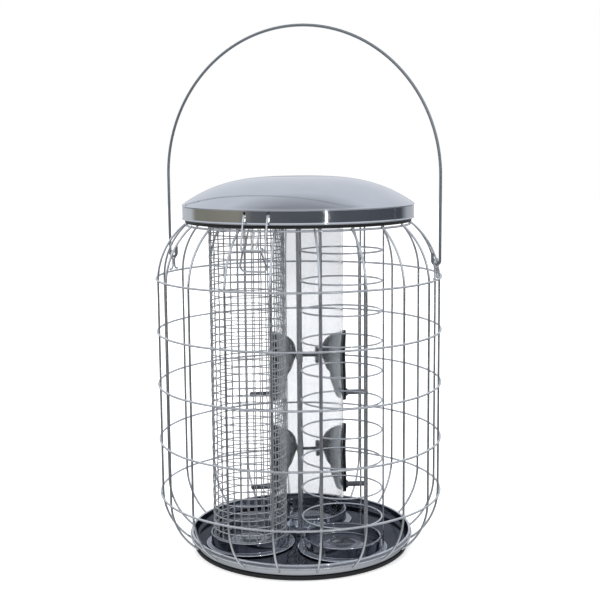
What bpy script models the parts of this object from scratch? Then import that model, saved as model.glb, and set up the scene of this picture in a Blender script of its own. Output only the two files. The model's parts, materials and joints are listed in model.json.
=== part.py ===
"""Hanging bird feeder with a squirrel-guard cage: mesh tube, fat-ball holder and seed tube under a hinged lid.

Metres, +Z up. The origin is the centre of the flat underside. The latch faces -Y, and the bail swings about
an axis a few degrees off X.
"""

import math

import bmesh
import bpy
from mathutils import Matrix, Vector

MM = 0.001
GAP = 0.3 * MM  # air between pieces that touch on the real object

# Base plate and tray
PLATE_OVERHANG = 0.6 * MM  # outside the tray's foot
PLATE_HEIGHT = 3.9 * MM
PLATE_WALL = 1.5 * MM
TRAY_MARGIN = 5.1 * MM  # from the cups' flanges to the tray's rounded corner
TRAY_CORNER = 5.3 * MM
TRAY_FLARE = 1.7 * MM  # how far the wall leans out
TRAY_RIM_HEIGHT = 14.6 * MM
TRAY_BEAD = 1.2 * MM
TRAY_SHEET = 1.0 * MM

# Cage
CAGE_RADIUS = 122.0 * MM  # centreline of the straight hoops
UPRIGHTS = 20
UPRIGHT_WIRE = 0.95 * MM
HOOP_WIRE = 0.9 * MM
HOOP_DROPS = [44.8 * MM, 90.4 * MM, 136.1 * MM, 184.3 * MM, 231.6 * MM]  # each hoop below the top ring
BOTTOM_RING_HEIGHT = 10.5 * MM
TOP_RING_HEIGHT = 282.8 * MM
TOP_SLOPE = math.radians(52)  # how far each upright has turned from vertical where it meets a ring
BOTTOM_SLOPE = math.radians(55)

# Lid
LID_RADIUS = 99.0 * MM
LID_SHEET = 1.1 * MM
LID_OVERHANG = 3.5 * MM  # outside the top ring's centreline
LID_SEAT = 4.7 * MM  # the band's lower edge above the top ring's centreline
LID_BAND_HEIGHT = 12.0 * MM
LID_RISE = 23.7 * MM
LID_DOME_POWER = 3.05
LIP_DROP = 2.7 * MM
LIP_INSET = 2.5 * MM
LIP_THICKNESS = 1.2 * MM

# Three tubes stand on one circle
FAT_BALL_ANGLE = math.radians(-20.9)
MESH_ANGLE = FAT_BALL_ANGLE - math.radians(120)
SEED_ANGLE = FAT_BALL_ANGLE + math.radians(120)
TUBE_PROUD = 1.2 * MM  # the tubes' tops above the top ring's centreline

CUP_FLANGE_WIDTH = 2.75 * MM  # outside what stands widest on a flange
CUP_SPACING = 3.9 * MM  # between two flanges
CUP_SHEET = 0.8 * MM
CUP_HEIGHT = 10.8 * MM
CUP_BEAD = 0.95 * MM
CUP_BOSS_RADIUS = 20.5 * MM
CUP_BOSS_HEIGHT = 2.5 * MM

MESH_RADIUS = 32.5 * MM
MESH_SHEET = 1.0 * MM

HOLDER_RADIUS = 33.9 * MM  # centreline of the fat-ball rings
HOLDER_WIRE = 0.75 * MM
HOLDER_RINGS = 10
HOLDER_FIRST_RING = 33.3 * MM
HOLDER_LAST_DROP = 21.7 * MM  # the last ring below the uprights' tops
HOLDER_UPRIGHTS = 6
HOLDER_PHASE = math.radians(19.5)
HOLDER_WELD = 0.4 * MM  # how far a ring sinks into an upright

SEED_RADIUS = 31.5 * MM
SEED_WALL = 1.5 * MM
PORT_TURN = math.radians(24)  # bearing of the right-hand ports from X
PORT_BOTTOMS = [118.5 * MM, 31.5 * MM]
PORT_HALF_WIDTH = 11.0 * MM
PORT_UP = 21.0 * MM  # port opening above its widest height
PORT_DOWN = 41.0 * MM  # and below it
PORT_DEPTH = 20.0 * MM  # how far the hood reaches into the tube at its widest height
PORT_TONGUE = 8.5 * MM  # and near the port's foot
PORT_WALL = 1.8 * MM
PORT_FLANGE = 1.6 * MM
PORT_FLANGE_THICKNESS = 2.2 * MM
PORT_LUG = 12.0 * MM  # solid foot of the port, which carries the perch
SEED_HOLE = 5.0 * MM
SEED_HOLE_DROP = 17.0 * MM  # below the port's widest height
PERCH_RADIUS = 2.4 * MM
PERCH_LENGTH = 20.0 * MM
PERCH_RAISE = 5.8 * MM
TIE_RADIUS = 1.3 * MM
BUSH_RADIUS = 7.4 * MM  # of the round bush that each end of a tie screw has
BUSH_TIP_RADIUS = 3.4 * MM
BUSH_CONE = 3.0 * MM
BUSH_EDGE = 2.0 * MM

ROD_RADIUS = 2.4 * MM
ROD_DROP = 1.3 * MM  # the rod's top below the top ring's centreline
NUT_RADIUS = 4.6 * MM
NUT_HEIGHT = 3.2 * MM
LOCK_NUT_HEIGHT = 1.8 * MM
CAP_NUT_HEIGHT = 6.0 * MM

# Bail and its eyes
BAIL_TURN = math.radians(-3)
BAIL_WIRE = 1.2 * MM
BAIL_LENGTH = 197.6 * MM  # pivot to the top of the arch
BAIL_HOOK_RADIUS = 3.2 * MM
BAIL_TAIL = 9.5 * MM
EYE_WIRE = 0.8 * MM
EYE_LOOP = 3.9 * MM
EYE_RISE = 14.6 * MM  # loop centre above the top hoop's centreline
EYE_NECK = 1.3 * MM
EYE_FOOT = 7.0 * MM

# Latch
LATCH_WIRE = 0.8 * MM
LATCH_HALF_WIDTH = 10.0 * MM
LATCH_PIVOT_INSET = 1.0 * MM
LATCH_PIVOT_RISE = 8.0 * MM  # above the band's lower edge
LATCH_LENGTH = 26.9 * MM
LATCH_LEAN = 8.0 * MM
LEVER_HALF_WIDTH = 11.2 * MM
LEVER_HOOK_OFFSET = 7.5 * MM
LEVER_LENGTH = 16.6 * MM
SLOT_HALF_WIDTH = 1.3 * MM
SLOT_HEIGHT = 8.0 * MM
KEEPER_WIRE = 0.7 * MM
KEEPER_HALF_WIDTH = 2.0 * MM

# Lid hinge
HINGE_OUT = 2.5 * MM  # axis outside the band
HINGE_RAISE = 0.5 * MM  # axis above the band's lower edge
HINGE_HALF_WIDTH = 11.0 * MM
STRAP_HALF_WIDTH = 8.0 * MM
STRAP_SHEET = 0.9 * MM
STRAP_HEIGHT = 8.5 * MM

MESH_FOOT = MESH_RADIUS + GAP + 2 * CUP_BEAD
SEED_FOOT = SEED_RADIUS + GAP + 2 * CUP_BEAD
HOLDER_FOOT = HOLDER_RADIUS + 3 * HOLDER_WIRE - HOLDER_WELD
CUP_FLANGE_RADIUS = max(MESH_FOOT, SEED_FOOT, HOLDER_FOOT) + CUP_FLANGE_WIDTH
TUBE_CIRCLE = (2 * CUP_FLANGE_RADIUS + CUP_SPACING) / math.sqrt(3)
TRAY_WALL_RADIUS = TUBE_CIRCLE + CUP_FLANGE_RADIUS + TRAY_MARGIN + TRAY_CORNER
TRAY_FOOT_RADIUS = TRAY_WALL_RADIUS - TRAY_FLARE
PLATE_RADIUS = TRAY_FOOT_RADIUS + PLATE_OVERHANG
TRAY_BOTTOM = PLATE_HEIGHT + GAP
TRAY_FLOOR = TRAY_BOTTOM + TRAY_SHEET
CUP_BOTTOM = TRAY_FLOOR + GAP
CUP_FLOOR = CUP_BOTTOM + CUP_SHEET + 0.2 * MM
TUBE_BOTTOM = CUP_FLOOR + GAP
TUBE_TOP = TOP_RING_HEIGHT + TUBE_PROUD
ROD_TOP = TOP_RING_HEIGHT - ROD_DROP
HOOP_HEIGHTS = [TOP_RING_HEIGHT - drop for drop in HOOP_DROPS]
TOP_RING_RADIUS = LID_RADIUS - LID_OVERHANG
LID_BAND_BOTTOM = TOP_RING_HEIGHT + LID_SEAT
LID_SHOULDER = LID_BAND_BOTTOM + LID_BAND_HEIGHT
UPRIGHT_RADIUS = CAGE_RADIUS - HOOP_WIRE - UPRIGHT_WIRE - GAP
WELD_OFFSET = HOOP_WIRE + UPRIGHT_WIRE + GAP


def clear_scene():
    for obj in list(bpy.data.objects):
        bpy.data.objects.remove(obj, do_unlink=True)


def make_material(name, color, roughness, metallic, alpha=1.0):
    material = bpy.data.materials.new(name)
    material.use_nodes = True
    shader = material.node_tree.nodes["Principled BSDF"]
    shader.inputs["Base Color"].default_value = (*color, 1.0)
    shader.inputs["Roughness"].default_value = roughness
    shader.inputs["Metallic"].default_value = metallic
    shader.inputs["Alpha"].default_value = alpha
    return material


def add_object(name, data, material, parent=None):
    obj = bpy.data.objects.new(name, data)
    data.materials.append(material)
    bpy.context.scene.collection.objects.link(obj)
    obj.parent = parent
    if parent is not None:
        obj.matrix_parent_inverse = parent.matrix_world.inverted()
    return obj


def add_pivot(name, position, parent=None):
    """An empty on a joint's axis, which carries a moving piece."""
    pivot = bpy.data.objects.new(name, None)
    bpy.context.scene.collection.objects.link(pivot)
    pivot.parent = parent
    pivot.location = position
    if parent is not None:
        pivot.matrix_parent_inverse = parent.matrix_world.inverted()
    bpy.context.view_layer.update()
    return pivot


def finish_mesh(name, mesh_builder):
    bmesh.ops.recalc_face_normals(mesh_builder, faces=mesh_builder.faces)
    mesh = bpy.data.meshes.new(name)
    mesh_builder.to_mesh(mesh)
    mesh_builder.free()
    mesh.shade_smooth()
    mesh.set_sharp_from_angle(angle=math.radians(35))
    return mesh


def arc(center, radius, start, end, steps):
    """Points on an arc, as (across, up) pairs; the angles are in degrees."""
    angles = [math.radians(start + (end - start) * i / steps) for i in range(steps + 1)]
    return [(center[0] + radius * math.cos(a), center[1] + radius * math.sin(a)) for a in angles]


def turned_mesh(name, profile, steps):
    """A profile of (radius, height) points turned about Z: closed, or open with both ends on the axis."""
    builder = bmesh.new()
    points = [builder.verts.new((radius, 0, height)) for radius, height in profile]
    on_axis = profile[0][0] == 0 and profile[-1][0] == 0
    edges = [builder.edges.new(pair) for pair in zip(points, points[1:])]
    if not on_axis:
        edges.append(builder.edges.new((points[-1], points[0])))
    bmesh.ops.spin(
        builder, geom=points + edges, axis=(0, 0, 1), cent=(0, 0, 0), angle=math.tau, steps=steps, use_merge=True
    )
    bmesh.ops.remove_doubles(builder, verts=builder.verts, dist=1e-6)
    return finish_mesh(name, builder)


def add_turned(name, profile, material, center=(0, 0), steps=32, parent=None):
    obj = add_object(name, turned_mesh(name, profile, steps), material)
    obj.location = (center[0], center[1], 0)
    obj.parent = parent
    return obj


def add_wire(name, points, radius, material, closed=False, sides=6, parent=None):
    """A round wire along a list of points."""
    curve = bpy.data.curves.new(name, "CURVE")
    curve.dimensions = "3D"
    curve.bevel_depth = radius
    curve.bevel_resolution = (sides - 4) // 2
    curve.use_fill_caps = True
    curve.twist_mode = "MINIMUM"
    spline = curve.splines.new("POLY")
    spline.points.add(len(points) - 1)
    for target, point in zip(spline.points, points):
        target.co = (*point, 1.0)
        target.radius = 1.0
    spline.use_cyclic_u = closed
    spline.use_smooth = True
    return add_object(name, curve, material, parent)


def ring_points(radius, height, count, center=(0, 0), phase=0.0):
    angles = [phase + math.tau * i / count for i in range(count)]
    return [(center[0] + radius * math.cos(a), center[1] + radius * math.sin(a), height) for a in angles]


def rounded(points, radius, steps=2, closed=False):
    """The same path with its corners rounded off, where they have room."""
    path = [Vector(p) for p in points]
    count = len(path)
    result = []
    for i, corner in enumerate(path):
        if not closed and i in (0, count - 1):
            result.append(corner)
            continue
        before = path[i - 1] - corner
        after = path[(i + 1) % count] - corner
        reach = min(radius, before.length * 0.45, after.length * 0.45)
        start = corner + before.normalized() * reach
        end = corner + after.normalized() * reach
        for step in range(steps + 1):
            t = step / steps
            result.append(start * (1 - t) ** 2 + corner * 2 * t * (1 - t) + end * t**2)
    return result


def upright_profile():
    """(radius, height) points of one upright: in from the bottom ring, straight up, and in again to the top ring."""
    low_radius, low_height = bottom_end()
    high_radius, high_height = top_end()
    low_bend = (UPRIGHT_RADIUS - low_radius) / (1 - math.cos(BOTTOM_SLOPE))
    high_bend = (UPRIGHT_RADIUS - high_radius) / (1 - math.cos(TOP_SLOPE))
    low_start = low_height + low_bend * math.sin(BOTTOM_SLOPE)
    high_start = high_height - high_bend * math.sin(TOP_SLOPE)
    low = arc((UPRIGHT_RADIUS - low_bend, low_start), low_bend, -math.degrees(BOTTOM_SLOPE), 0, 5)
    high = arc((UPRIGHT_RADIUS - high_bend, high_start), high_bend, 0, math.degrees(TOP_SLOPE), 5)
    return low + high


def bottom_ring_radius():
    share = (BOTTOM_RING_HEIGHT - TRAY_BOTTOM) / (TRAY_RIM_HEIGHT - TRAY_BOTTOM)
    wall = TRAY_FOOT_RADIUS + (TRAY_WALL_RADIUS - TRAY_FOOT_RADIUS) * max(share, 0.8)
    return (wall + 1.5 * GAP + HOOP_WIRE) / math.cos(math.pi / (2 * UPRIGHTS))


def bottom_end():
    beyond_weld = 0.8 * MM
    radius = bottom_ring_radius() + WELD_OFFSET * math.cos(BOTTOM_SLOPE) - beyond_weld * math.sin(BOTTOM_SLOPE)
    height = BOTTOM_RING_HEIGHT - WELD_OFFSET * math.sin(BOTTOM_SLOPE) - beyond_weld * math.cos(BOTTOM_SLOPE)
    return radius, height


def top_end():
    radius = TOP_RING_RADIUS + WELD_OFFSET * math.cos(TOP_SLOPE)
    height = TOP_RING_HEIGHT + WELD_OFFSET * math.sin(TOP_SLOPE)
    return radius, height


def hoop_radius(height):
    """Centreline radius of a hoop that lies against the outside of the uprights at this height."""
    profile = upright_profile()
    for (r0, z0), (r1, z1) in zip(profile, profile[1:]):
        if z0 <= height <= z1:
            radius = r0 + (r1 - r0) * (height - z0) / (z1 - z0)
            lean = math.hypot(r1 - r0, z1 - z0) / (z1 - z0)
            return radius + WELD_OFFSET * lean
    return UPRIGHT_RADIUS + WELD_OFFSET


def add_base(black, steel):
    add_turned(
        "base_plate",
        [
            (0, 0),
            (PLATE_RADIUS - 1.7 * MM, 0),
            (PLATE_RADIUS - 0.3 * MM, 1.2 * MM),
            (PLATE_RADIUS, PLATE_HEIGHT),
            (PLATE_RADIUS - PLATE_WALL, PLATE_HEIGHT),
            (PLATE_RADIUS - PLATE_WALL - 0.4 * MM, PLATE_WALL),
            (0, PLATE_WALL),
        ],
        black,
        steps=48,
    )
    bead_radius = TRAY_WALL_RADIUS + 0.3 * MM
    bead_height = TRAY_RIM_HEIGHT - TRAY_BEAD
    hole = ROD_RADIUS + GAP
    profile = [(hole, TRAY_BOTTOM), (TRAY_FOOT_RADIUS, TRAY_BOTTOM), (TRAY_WALL_RADIUS - 0.6 * MM, TRAY_FLOOR)]
    profile += [(TRAY_WALL_RADIUS, bead_height - 1.1 * MM)]
    profile += arc((bead_radius, bead_height), TRAY_BEAD, -60, 200, 6)
    profile += [(TRAY_WALL_RADIUS - 4.1 * MM, TRAY_FLOOR + TRAY_SHEET)]
    profile += [(TRAY_WALL_RADIUS - TRAY_CORNER, TRAY_FLOOR)]
    profile += [(hole, TRAY_FLOOR)]
    add_turned("base_tray", profile, steel, steps=48)


def on_tube_circle(angle):
    return (TUBE_CIRCLE * math.cos(angle), TUBE_CIRCLE * math.sin(angle))


def add_cup(name, angle, wall_radius, steel):
    """A pressed cup: flat flange, upright wall with a rolled bead, and a raised boss inside."""
    inner = wall_radius - CUP_SHEET / 2
    outer = wall_radius + CUP_SHEET / 2
    bead_height = CUP_BOTTOM + CUP_HEIGHT - CUP_BEAD
    profile = [(0, CUP_BOTTOM), (CUP_FLANGE_RADIUS, CUP_BOTTOM), (CUP_FLANGE_RADIUS, CUP_FLOOR)]
    profile += [(outer + 0.3 * MM, CUP_FLOOR), (outer, CUP_FLOOR + 0.5 * MM)]
    profile += arc((wall_radius, bead_height), CUP_BEAD, -60, 240, 6)
    profile += [(inner, CUP_FLOOR + 0.5 * MM), (inner - 0.3 * MM, CUP_FLOOR)]
    profile += [(CUP_BOSS_RADIUS + 1.2 * MM, CUP_FLOOR), (CUP_BOSS_RADIUS, CUP_FLOOR + CUP_BOSS_HEIGHT)]
    profile += [(0, CUP_FLOOR + CUP_BOSS_HEIGHT)]
    add_turned(name, profile, steel, center=on_tube_circle(angle), steps=32)


def add_cups(steel):
    holder_clear = HOLDER_RADIUS + HOLDER_WIRE - HOLDER_WELD - GAP
    add_cup("cup_fat_ball", FAT_BALL_ANGLE, holder_clear - CUP_BEAD, steel)
    add_cup("cup_mesh", MESH_ANGLE, MESH_FOOT - CUP_BEAD, steel)
    add_cup("cup_seed", SEED_ANGLE, SEED_FOOT - CUP_BEAD, steel)


def hexagon_profile(radius, bottom, top, bore):
    return [(bore, bottom), (radius, bottom), (radius, top), (bore, top)]


def add_rod(zinc):
    bore = (ROD_RADIUS + GAP) / math.cos(math.pi / 6)
    rod_bottom = TRAY_BOTTOM - GAP - LOCK_NUT_HEIGHT
    add_turned("centre_rod", [(0, rod_bottom), (ROD_RADIUS, rod_bottom), (ROD_RADIUS, ROD_TOP), (0, ROD_TOP)], zinc,
               steps=16)
    nut_bottom = TRAY_FLOOR + GAP
    add_turned("rod_nut", hexagon_profile(NUT_RADIUS, nut_bottom, nut_bottom + NUT_HEIGHT, bore), zinc, steps=6)
    lock_top = TRAY_BOTTOM - GAP
    lock_bottom = lock_top - LOCK_NUT_HEIGHT
    add_turned("rod_lock_nut", hexagon_profile(NUT_RADIUS, lock_bottom, lock_top, bore), zinc, steps=6)
    cap_bottom = ROD_TOP - CAP_NUT_HEIGHT / 2
    inside_top = ROD_TOP + GAP
    profile = [(0, inside_top), (bore, inside_top), (bore, cap_bottom), (NUT_RADIUS, cap_bottom)]
    profile += [(NUT_RADIUS, inside_top), (NUT_RADIUS * 0.6, inside_top + 1.2 * MM), (0, inside_top + 1.6 * MM)]
    add_turned("rod_cap_nut", profile, zinc, steps=6)


def add_mesh_tube(zinc):
    inner = MESH_RADIUS - MESH_SHEET
    profile = [(inner, TUBE_BOTTOM), (MESH_RADIUS, TUBE_BOTTOM), (MESH_RADIUS, TUBE_TOP), (inner, TUBE_TOP)]
    add_turned("mesh_tube", profile, zinc, center=on_tube_circle(MESH_ANGLE), steps=32)


def as_mesh(obj):
    """Turns a curve object into a mesh object of the same shape."""
    graph = bpy.context.evaluated_depsgraph_get()
    mesh = bpy.data.meshes.new_from_object(obj.evaluated_get(graph))
    bpy.data.objects.remove(obj, do_unlink=True)
    return mesh


def joined_mesh(name, meshes):
    builder = bmesh.new()
    for mesh in meshes:
        builder.from_mesh(mesh)
    bmesh.ops.remove_doubles(builder, verts=builder.verts, dist=1e-7)
    return finish_mesh(name, builder)


def add_helper(name, mesh, material):
    """An object that only a Boolean reads."""
    helper = add_object(name, mesh, material)
    helper.hide_render = True
    helper.display_type = "WIRE"
    return helper


def boolean(obj, helper, operation):
    modifier = obj.modifiers.new(operation.lower() + "_" + helper.name, "BOOLEAN")
    modifier.operation = operation
    modifier.solver = "EXACT"
    modifier.object = helper


def add_fat_ball_holder(zinc):
    center = on_tube_circle(FAT_BALL_ANGLE)
    pitch = (TUBE_TOP - HOLDER_LAST_DROP - HOLDER_FIRST_RING) / (HOLDER_RINGS - 1)
    rings = []
    for index in range(HOLDER_RINGS):
        height = HOLDER_FIRST_RING + index * pitch
        points = ring_points(HOLDER_RADIUS, height, 4 * HOLDER_UPRIGHTS, center, HOLDER_PHASE)
        rings.append(as_mesh(add_wire("ring", points, HOLDER_WIRE, zinc, closed=True)))
    uprights = []
    upright_circle = HOLDER_RADIUS + 2 * HOLDER_WIRE - HOLDER_WELD
    for index in range(HOLDER_UPRIGHTS):
        angle = HOLDER_PHASE + math.tau * index / HOLDER_UPRIGHTS
        x = center[0] + upright_circle * math.cos(angle)
        y = center[1] + upright_circle * math.sin(angle)
        uprights.append(as_mesh(add_wire("upright", [(x, y, TUBE_BOTTOM), (x, y, TUBE_TOP)], HOLDER_WIRE, zinc)))
    holder = add_object("fat_ball_holder", joined_mesh("fat_ball_holder", rings), zinc)
    boolean(holder, add_helper("holder_uprights", joined_mesh("holder_uprights", uprights), zinc), "UNION")


def port_outline(grow, count=16, shorten=0):
    """(across, up) points of a port's pear-shaped outline about its widest height."""
    points = []
    for index in range(count):
        angle = math.tau * index / count
        low = max(0, -math.sin(angle))
        across = (PORT_HALF_WIDTH + grow) * math.cos(angle) * (1 - 0.3 * low)
        reach = PORT_UP + grow if math.sin(angle) > 0 else PORT_DOWN + grow - shorten
        points.append((across, reach * math.sin(angle)))
    return points


def seed_wall(across, radius=SEED_RADIUS):
    """How far out from the tube's axis its wall is, at a distance across the port."""
    return math.sqrt(radius**2 - across**2)


def port_matrix(side, port_bottom):
    """Local axes of a port: X out through the wall, Y across, Z up, at its widest height."""
    turn = PORT_TURN if side > 0 else PORT_TURN + math.pi
    x, y = on_tube_circle(SEED_ANGLE)
    return Matrix.Translation((x, y, port_bottom + PORT_DOWN)) @ Matrix.Rotation(turn, 4, "Z")


def port_half_width(up):
    """Half the port's width at a height about its widest place: pear-shaped, narrower below."""
    share = min(1.0, abs(up) / (PORT_UP if up > 0 else PORT_DOWN))
    return PORT_HALF_WIDTH * math.sqrt(1 - share**2) * (1 - 0.3 * share if up < 0 else 1)


def hood_depth(up):
    """How far the hood stands in from the wall: round over the top, and tapering to a tongue at the foot."""
    if up > 0:
        return PORT_DEPTH * math.sqrt(max(0.0, 1 - (up / PORT_UP) ** 3))
    share = min(1.0, -up / PORT_DOWN)
    taper = PORT_DEPTH + (PORT_TONGUE - PORT_DEPTH) * min(1.0, share / 0.8)
    return taper * math.sqrt(1 - share**12)


def hood_loop(outline, share, thickness):
    """One loop of the hood's surface: deep in the middle, shallow towards the outline."""
    loop = []
    for across, up in outline:
        y, z = across * share, up * share
        level = math.sqrt(max(0.0, 1 - (y / port_half_width(z)) ** 2))
        loop.append((seed_wall(y) - max(0.0, hood_depth(z) * level - thickness), y, z))
    return loop


def port_mesh(name):
    """A bowl with a flange: the hollow faces out, and the hood's rounded back stands inside the tube."""
    hollow = port_outline(-PORT_WALL, shorten=PORT_LUG - PORT_WALL)
    flange = port_outline(PORT_FLANGE)
    collar = port_outline(-GAP)
    front = GAP + PORT_FLANGE_THICKNESS
    loops = [hood_loop(hollow, share, PORT_WALL) for share in (0.3, 0.6, 0.85)]
    loops.append([(seed_wall(y) + front, y, z) for y, z in hollow])
    loops.append([(seed_wall(y) + front, y, z) for y, z in flange])
    loops.append([(seed_wall(y) + GAP, y, z) for y, z in flange])
    loops.append([(seed_wall(y) + GAP, y, z) for y, z in collar])
    loops += [hood_loop(collar, share, 0) for share in (0.97, 0.85, 0.62, 0.33)]
    builder = bmesh.new()
    rows = [[builder.verts.new(point) for point in loop] for loop in loops]
    for low, high in zip(rows, rows[1:]):
        for i in range(len(low)):
            j = (i + 1) % len(low)
            builder.faces.new((low[i], low[j], high[j], high[i]))
    for row, reach in ((rows[0], SEED_RADIUS - PORT_DEPTH + PORT_WALL), (rows[-1], SEED_RADIUS - PORT_DEPTH)):
        tip = builder.verts.new((reach, 0, 0))
        for i in range(len(row)):
            builder.faces.new((row[i], row[(i + 1) % len(row)], tip))
    return finish_mesh(name, builder)


def prism_mesh(name, outline, start, end):
    """An outline of (across, up) points extruded from X = start to X = end."""
    builder = bmesh.new()
    rows = [[builder.verts.new((x, y, z)) for y, z in outline] for x in (start, end)]
    builder.faces.new(rows[0])
    builder.faces.new(rows[1])
    for i in range(len(outline)):
        j = (i + 1) % len(outline)
        builder.faces.new((rows[0][i], rows[0][j], rows[1][j], rows[1][i]))
    return finish_mesh(name, builder)


def circle_outline(radius, height, count):
    angles = [math.tau * (i + 0.5) / count for i in range(count)]
    return [(radius * math.cos(a), height + radius * math.sin(a)) for a in angles]


def add_seed_tube(clear, dark):
    inner = SEED_RADIUS - SEED_WALL
    profile = [(inner, TUBE_BOTTOM), (SEED_RADIUS, TUBE_BOTTOM), (SEED_RADIUS, TUBE_TOP), (inner, TUBE_TOP)]
    tube = add_turned("seed_tube", profile, clear, center=on_tube_circle(SEED_ANGLE), steps=40)
    for level, bottom in zip(("upper", "lower"), PORT_BOTTOMS):
        for hand, side in (("right", 1), ("left", -1)):
            place = port_matrix(side, bottom)
            label = level + "_" + hand
            hole = prism_mesh("hole", port_outline(0), SEED_RADIUS / 2, SEED_RADIUS * 1.5)
            cutter = add_helper("hole_" + label, hole, clear)
            cutter.matrix_world = place
            boolean(tube, cutter, "DIFFERENCE")
            port = add_object("port_" + label, port_mesh("port_" + label), dark)
            port.matrix_world = place
            passage = circle_outline(SEED_HOLE, -SEED_HOLE_DROP, 12)
            passage_end = SEED_RADIUS - PORT_TONGUE / 2
            hole = prism_mesh("seed_hole", passage, passage_end - PORT_DEPTH, passage_end)
            seed_hole = add_helper("seed_hole_" + label, hole, dark)
            seed_hole.matrix_world = place
            boolean(port, seed_hole, "DIFFERENCE")
            start = SEED_RADIUS + 2 * GAP + PORT_FLANGE_THICKNESS
            height = PERCH_RAISE - PORT_DOWN
            perch_mesh = prism_mesh("perch", circle_outline(PERCH_RADIUS, height, 12), start, start + PERCH_LENGTH)
            perch = add_object("perch_" + label, perch_mesh, dark)
            perch.matrix_world = place
        tie = add_object("tie_screw_" + level, turned_mesh("tie_screw_" + level, tie_profile(), 16), dark)
        tie.matrix_world = port_matrix(1, bottom) @ Matrix.Rotation(math.radians(90), 4, "Y")


def tie_profile():
    """(radius, along) outline of a tie screw, with a round bush against the hood at each end."""
    reach = SEED_RADIUS - PORT_DEPTH - GAP
    half = [(0, reach), (BUSH_TIP_RADIUS, reach), (BUSH_RADIUS, reach - BUSH_CONE)]
    half += [(BUSH_RADIUS, reach - BUSH_CONE - BUSH_EDGE), (TIE_RADIUS, reach - BUSH_CONE - BUSH_EDGE - 0.4 * MM)]
    return half + [(radius, -along) for radius, along in reversed(half)]


def add_cage(zinc):
    profile = upright_profile()
    for index in range(UPRIGHTS):
        angle = math.tau * (index + 0.5) / UPRIGHTS
        points = [(r * math.cos(angle), r * math.sin(angle), z) for r, z in profile]
        add_wire(f"upright_{index + 1:02d}", points, UPRIGHT_WIRE, zinc)
    count = 2 * UPRIGHTS
    add_wire("top_ring", ring_points(TOP_RING_RADIUS, TOP_RING_HEIGHT, count), HOOP_WIRE, zinc, closed=True)
    for index, height in enumerate(HOOP_HEIGHTS):
        points = ring_points(hoop_radius(height), height, count)
        add_wire(f"hoop_{index + 1}", points, HOOP_WIRE, zinc, closed=True)
    add_wire("bottom_ring", ring_points(bottom_ring_radius(), BOTTOM_RING_HEIGHT, count), HOOP_WIRE, zinc, closed=True)


def lid_dome(radius):
    return LID_SHOULDER + LID_RISE * (1 - (radius / LID_RADIUS) ** LID_DOME_POWER)


def add_lid(steel, pivot):
    lip = LID_RADIUS - LIP_INSET
    lip_bottom = LID_BAND_BOTTOM - LIP_DROP
    inner = LID_RADIUS - LID_SHEET
    stations = [LID_RADIUS * share for share in (0, 0.2, 0.4, 0.6, 0.78, 0.92)]
    profile = [(r, lid_dome(r)) for r in stations]
    profile += [(LID_RADIUS - 0.5 * MM, LID_SHOULDER + 0.4 * MM), (LID_RADIUS, LID_SHOULDER - 0.2 * MM)]
    profile += [(LID_RADIUS, LID_BAND_BOTTOM), (lip, LID_BAND_BOTTOM), (lip, lip_bottom)]
    profile += [(lip - LIP_THICKNESS, lip_bottom), (lip - LIP_THICKNESS, LID_BAND_BOTTOM + LID_SHEET)]
    profile += [(inner, LID_BAND_BOTTOM + LID_SHEET), (inner, LID_SHOULDER - LID_SHEET)]
    profile += [(r, lid_dome(r) - LID_SHEET) for r in reversed(stations)]
    lid = add_object("lid", turned_mesh("lid", profile, 48), steel)
    slot_center = LID_BAND_BOTTOM + LATCH_PIVOT_RISE - 1.5 * MM
    for hand, side in (("left", -1), ("right", 1)):
        across = [side * LATCH_HALF_WIDTH - SLOT_HALF_WIDTH, side * LATCH_HALF_WIDTH + SLOT_HALF_WIDTH]
        up = [slot_center - SLOT_HEIGHT / 2, slot_center + SLOT_HEIGHT / 2]
        corners = [(across[0], up[0]), (across[1], up[0]), (across[1], up[1]), (across[0], up[1])]
        cutter = add_helper("slot_" + hand, prism_mesh("slot", corners, LID_RADIUS - 6 * MM, LID_RADIUS + 3 * MM), steel)
        cutter.matrix_world = Matrix.Rotation(math.radians(-90), 4, "Z")
        boolean(lid, cutter, "DIFFERENCE")
    attach(lid, pivot)


def attach(obj, pivot):
    """Parents an object to a pivot without moving it."""
    bpy.context.view_layer.update()
    world = obj.matrix_world.copy()
    obj.parent = pivot
    obj.matrix_parent_inverse = pivot.matrix_world.inverted()
    obj.matrix_world = world


def hinge_axis():
    return Vector((0, LID_RADIUS + HINGE_OUT, LID_BAND_BOTTOM + HINGE_RAISE))


def add_lid_hinge(zinc, steel, pivot):
    axis = hinge_axis()
    ring_flat = TOP_RING_RADIUS * math.cos(math.pi / (2 * UPRIGHTS))
    foot_y = math.sqrt(ring_flat**2 - HINGE_HALF_WIDTH**2) + HOOP_WIRE + GAP + LATCH_WIRE
    foot_z = TOP_RING_HEIGHT - 1.0 * MM
    points = [(-HINGE_HALF_WIDTH, foot_y, foot_z), (-HINGE_HALF_WIDTH, axis.y, axis.z)]
    points += [(HINGE_HALF_WIDTH, axis.y, axis.z), (HINGE_HALF_WIDTH, foot_y, foot_z)]
    add_wire("lid_hinge_loop", rounded(points, 1.2 * MM), LATCH_WIRE, zinc)
    bore = LATCH_WIRE + GAP
    outer = bore + STRAP_SHEET
    mesh = prism_mesh("lid_hinge_strap", strap_outline(bore, outer), -STRAP_HALF_WIDTH, STRAP_HALF_WIDTH)
    strap = add_object("lid_hinge_strap", mesh, steel)
    strap.location = axis
    attach(strap, pivot)


def strap_outline(bore, outer):
    """(y, z) outline of the strap about the hinge axis: a curl round the axis, and a tail up the lid's band."""
    tail_inner = -HINGE_OUT + GAP
    tail_outer = tail_inner + STRAP_SHEET
    curl = arc((0, 0), outer, 130, -180, 11)
    hollow = arc((0, 0), bore, -180, 100, 10)
    return [(tail_inner, STRAP_HEIGHT), (tail_outer, STRAP_HEIGHT), *curl, *hollow, (tail_inner, bore + 0.1 * MM)]


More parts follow.
